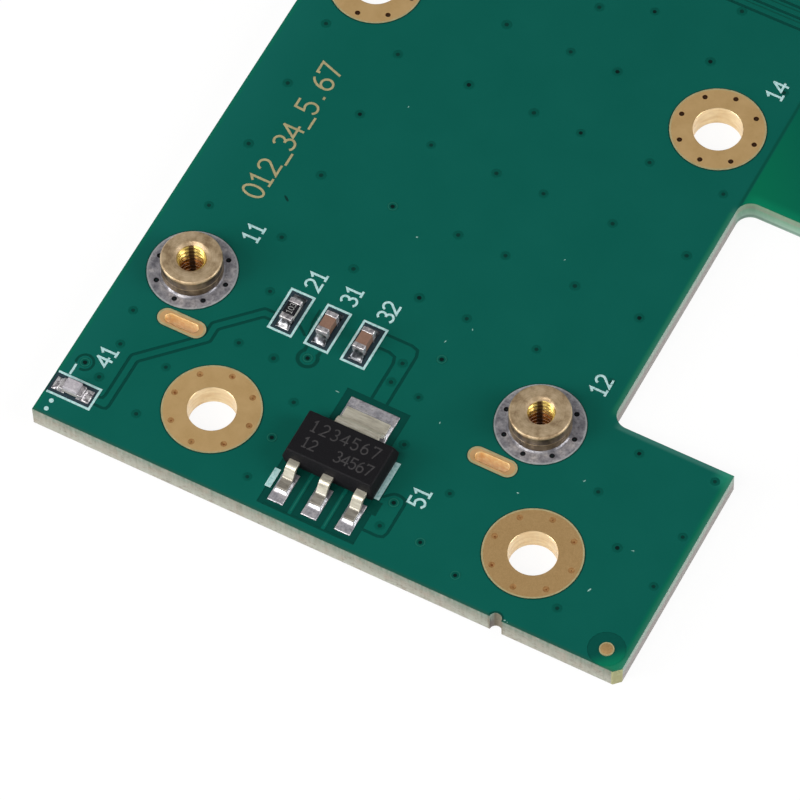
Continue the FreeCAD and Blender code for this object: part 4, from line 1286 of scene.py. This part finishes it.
def carried_nodes():
    """Nodes whose solid is right as it stands, given their materials."""
    for name, look in (("board", "board"), ("edge_fingers_top", "finger"), ("edge_fingers_bottom", "finger"),
                       ("socket_housing", "housing"), ("socket_contacts_lower", "contact"),
                       ("socket_contacts_upper", "contact"), ("socket_anchor_left", "terminal"),
                       ("socket_anchor_right", "terminal")):
        slots = bpy.data.objects[name].material_slots
        if slots:
            for material_slot in slots:
                material_slot.material = LOOKS[look]
        else:
            bpy.data.objects[name].data.materials.append(LOOKS[look])


# Alignment dot

def fiducial():
    x, y = FIDUCIAL
    dot = Shape().add(plate([circle(x, y, 0.38, 40)], RELIEF, LAND, 0.008))
    dot.add(plate([circle(x, y, 0.46, 40), circle(x, y, 0.37, 40)], RELIEF, LAND - 0.004), 1)
    piece("fiducial_dot", dot, ["gold", "rim"], nodes=["fiducial_dot"])
    ground = Shape().add(plate([circle(x, y, 1.16, 56), circle(x, y, 0.47, 40)], *GROUND))
    piece("fiducial_ground", ground, ["fiducial_ground"])


# Studio

def stage_look(name):
    """White for what the camera and reflections see, and a plain pale surface for the light itself."""
    material = bpy.data.materials.new(name)
    material.use_nodes = True
    tree = material.node_tree
    tree.nodes.clear()
    rays = tree.nodes.new("ShaderNodeLightPath").outputs

    def math_node(operation, first, second):
        node = tree.nodes.new("ShaderNodeMath")
        node.operation = operation
        tree.links.new(first, node.inputs[0])
        if isinstance(second, float):
            node.inputs[1].default_value = second
        else:
            tree.links.new(second, node.inputs[1])
        return node.outputs[0]
    mirrored = math_node("MAXIMUM", rays["Is Glossy Ray"], rays["Is Transmission Ray"])
    share = math_node("MULTIPLY", math_node("MAXIMUM", rays["Is Camera Ray"], mirrored), 0.88)
    plain = tree.nodes.new("ShaderNodeBsdfDiffuse")
    plain.inputs["Color"].default_value = (0.86, 0.86, 0.86, 1)
    glow = tree.nodes.new("ShaderNodeEmission")
    glow.inputs["Strength"].default_value = 1.03
    mixed = tree.nodes.new("ShaderNodeMixShader")
    for socket, source in zip(mixed.inputs, (share, plain.outputs[0], glow.outputs[0])):
        tree.links.new(source, socket)
    output = tree.nodes.new("ShaderNodeOutputMaterial")
    tree.links.new(mixed.outputs[0], output.inputs[0])
    return material


def lamp(name, direction, distance, width, height, power, color=(1, 1, 1)):
    data = bpy.data.lights.new(name, "AREA")
    data.shape = "RECTANGLE"
    data.size = width
    data.size_y = height
    data.energy = power
    data.color = color
    thing = shown(name, data)
    spot = Vector(direction).normalized() * distance
    thing.location = spot
    thing.rotation_mode = "QUATERNION"
    thing.rotation_quaternion = (-spot).to_track_quat("-Z", "Y")


def table_top():
    radius, corners = 2.6, 96
    level = cad_box[0][2] - 0.01 * MM
    mesh = bpy.data.meshes.new("table")
    mesh.from_pydata([(x, y, level) for x, y in circle(0, 0, radius, corners)], [], [list(range(corners))])
    mesh.materials.append(stage_look("table"))
    table = shown("table", mesh)


def surroundings():
    """A world that is brightest at the horizon, and plain white to the camera."""
    world = bpy.data.worlds.new("studio")
    bpy.context.scene.world = world
    world.use_nodes = True
    tree = world.node_tree
    background = tree.nodes["Background"]
    background.inputs["Color"].default_value = (1.0, 1.0, 1.0, 1)
    height = tree.nodes.new("ShaderNodeSeparateXYZ")
    tree.links.new(tree.nodes.new("ShaderNodeTexCoord").outputs["Generated"], height.inputs[0])
    glow = tree.nodes.new("ShaderNodeMapRange")
    glow.interpolation_type = "SMOOTHERSTEP"
    glow.inputs["From Max"].default_value = 0.7
    glow.inputs["To Min"].default_value = 0.55
    glow.inputs["To Max"].default_value = 0.13
    tree.links.new(height.outputs[2], glow.inputs["Value"])
    strength = tree.nodes.new("ShaderNodeMix")
    tree.links.new(tree.nodes.new("ShaderNodeLightPath").outputs["Is Camera Ray"], strength.inputs["Factor"])
    tree.links.new(glow.outputs[0], strength.inputs["A"])
    strength.inputs["B"].default_value = 1.0
    tree.links.new(strength.outputs["Result"], background.inputs["Strength"])


def eye():
    """The camera, fitted to the card's holes and corners."""
    data = bpy.data.cameras.new("camera")
    data.sensor_width = 36
    data.lens = 290.69
    data.clip_start = 0.02
    data.clip_end = 10
    camera = shown("camera", data)
    right = Vector((0.88292797, 0.46906158, -0.02047997))
    up = Vector((-0.39295491, 0.76213521, 0.51452538))
    back = Vector((0.25695259, -0.44624114, 0.85723055))
    turn = Matrix((right, up, back)).transposed().to_4x4()
    camera.matrix_world = Matrix.Translation((0.10495551, -0.17824828, 0.33784787)) @ turn
    bpy.context.scene.camera = camera


def studio():
    table_top()
    lamp("left_box", (-0.69, -0.65, 0.42), 0.5, 0.25, 0.36, 1.6)
    lamp("right_box", (0.92, 0.18, 0.45), 0.9, 0.45, 0.65, 4.4)
    lamp("front_top", (-0.10, -0.55, 0.83), 1.0, 0.60, 0.42, 4.8, (1.0, 0.98, 0.94))
    surroundings()
    eye()
    bpy.context.scene.view_settings.view_transform = "Standard"


LOOKS = all_looks()
carried_nodes()
holes()
for side, x in POST_PLACES.items():
    post(side, x)
    post_solder(side, x)
covered_holes()
etched_lines()
specks()
legend()
chips()
regulator_case()
regulator_leads()
regulator_solder()
socket_joints()
fiducial()
studio()
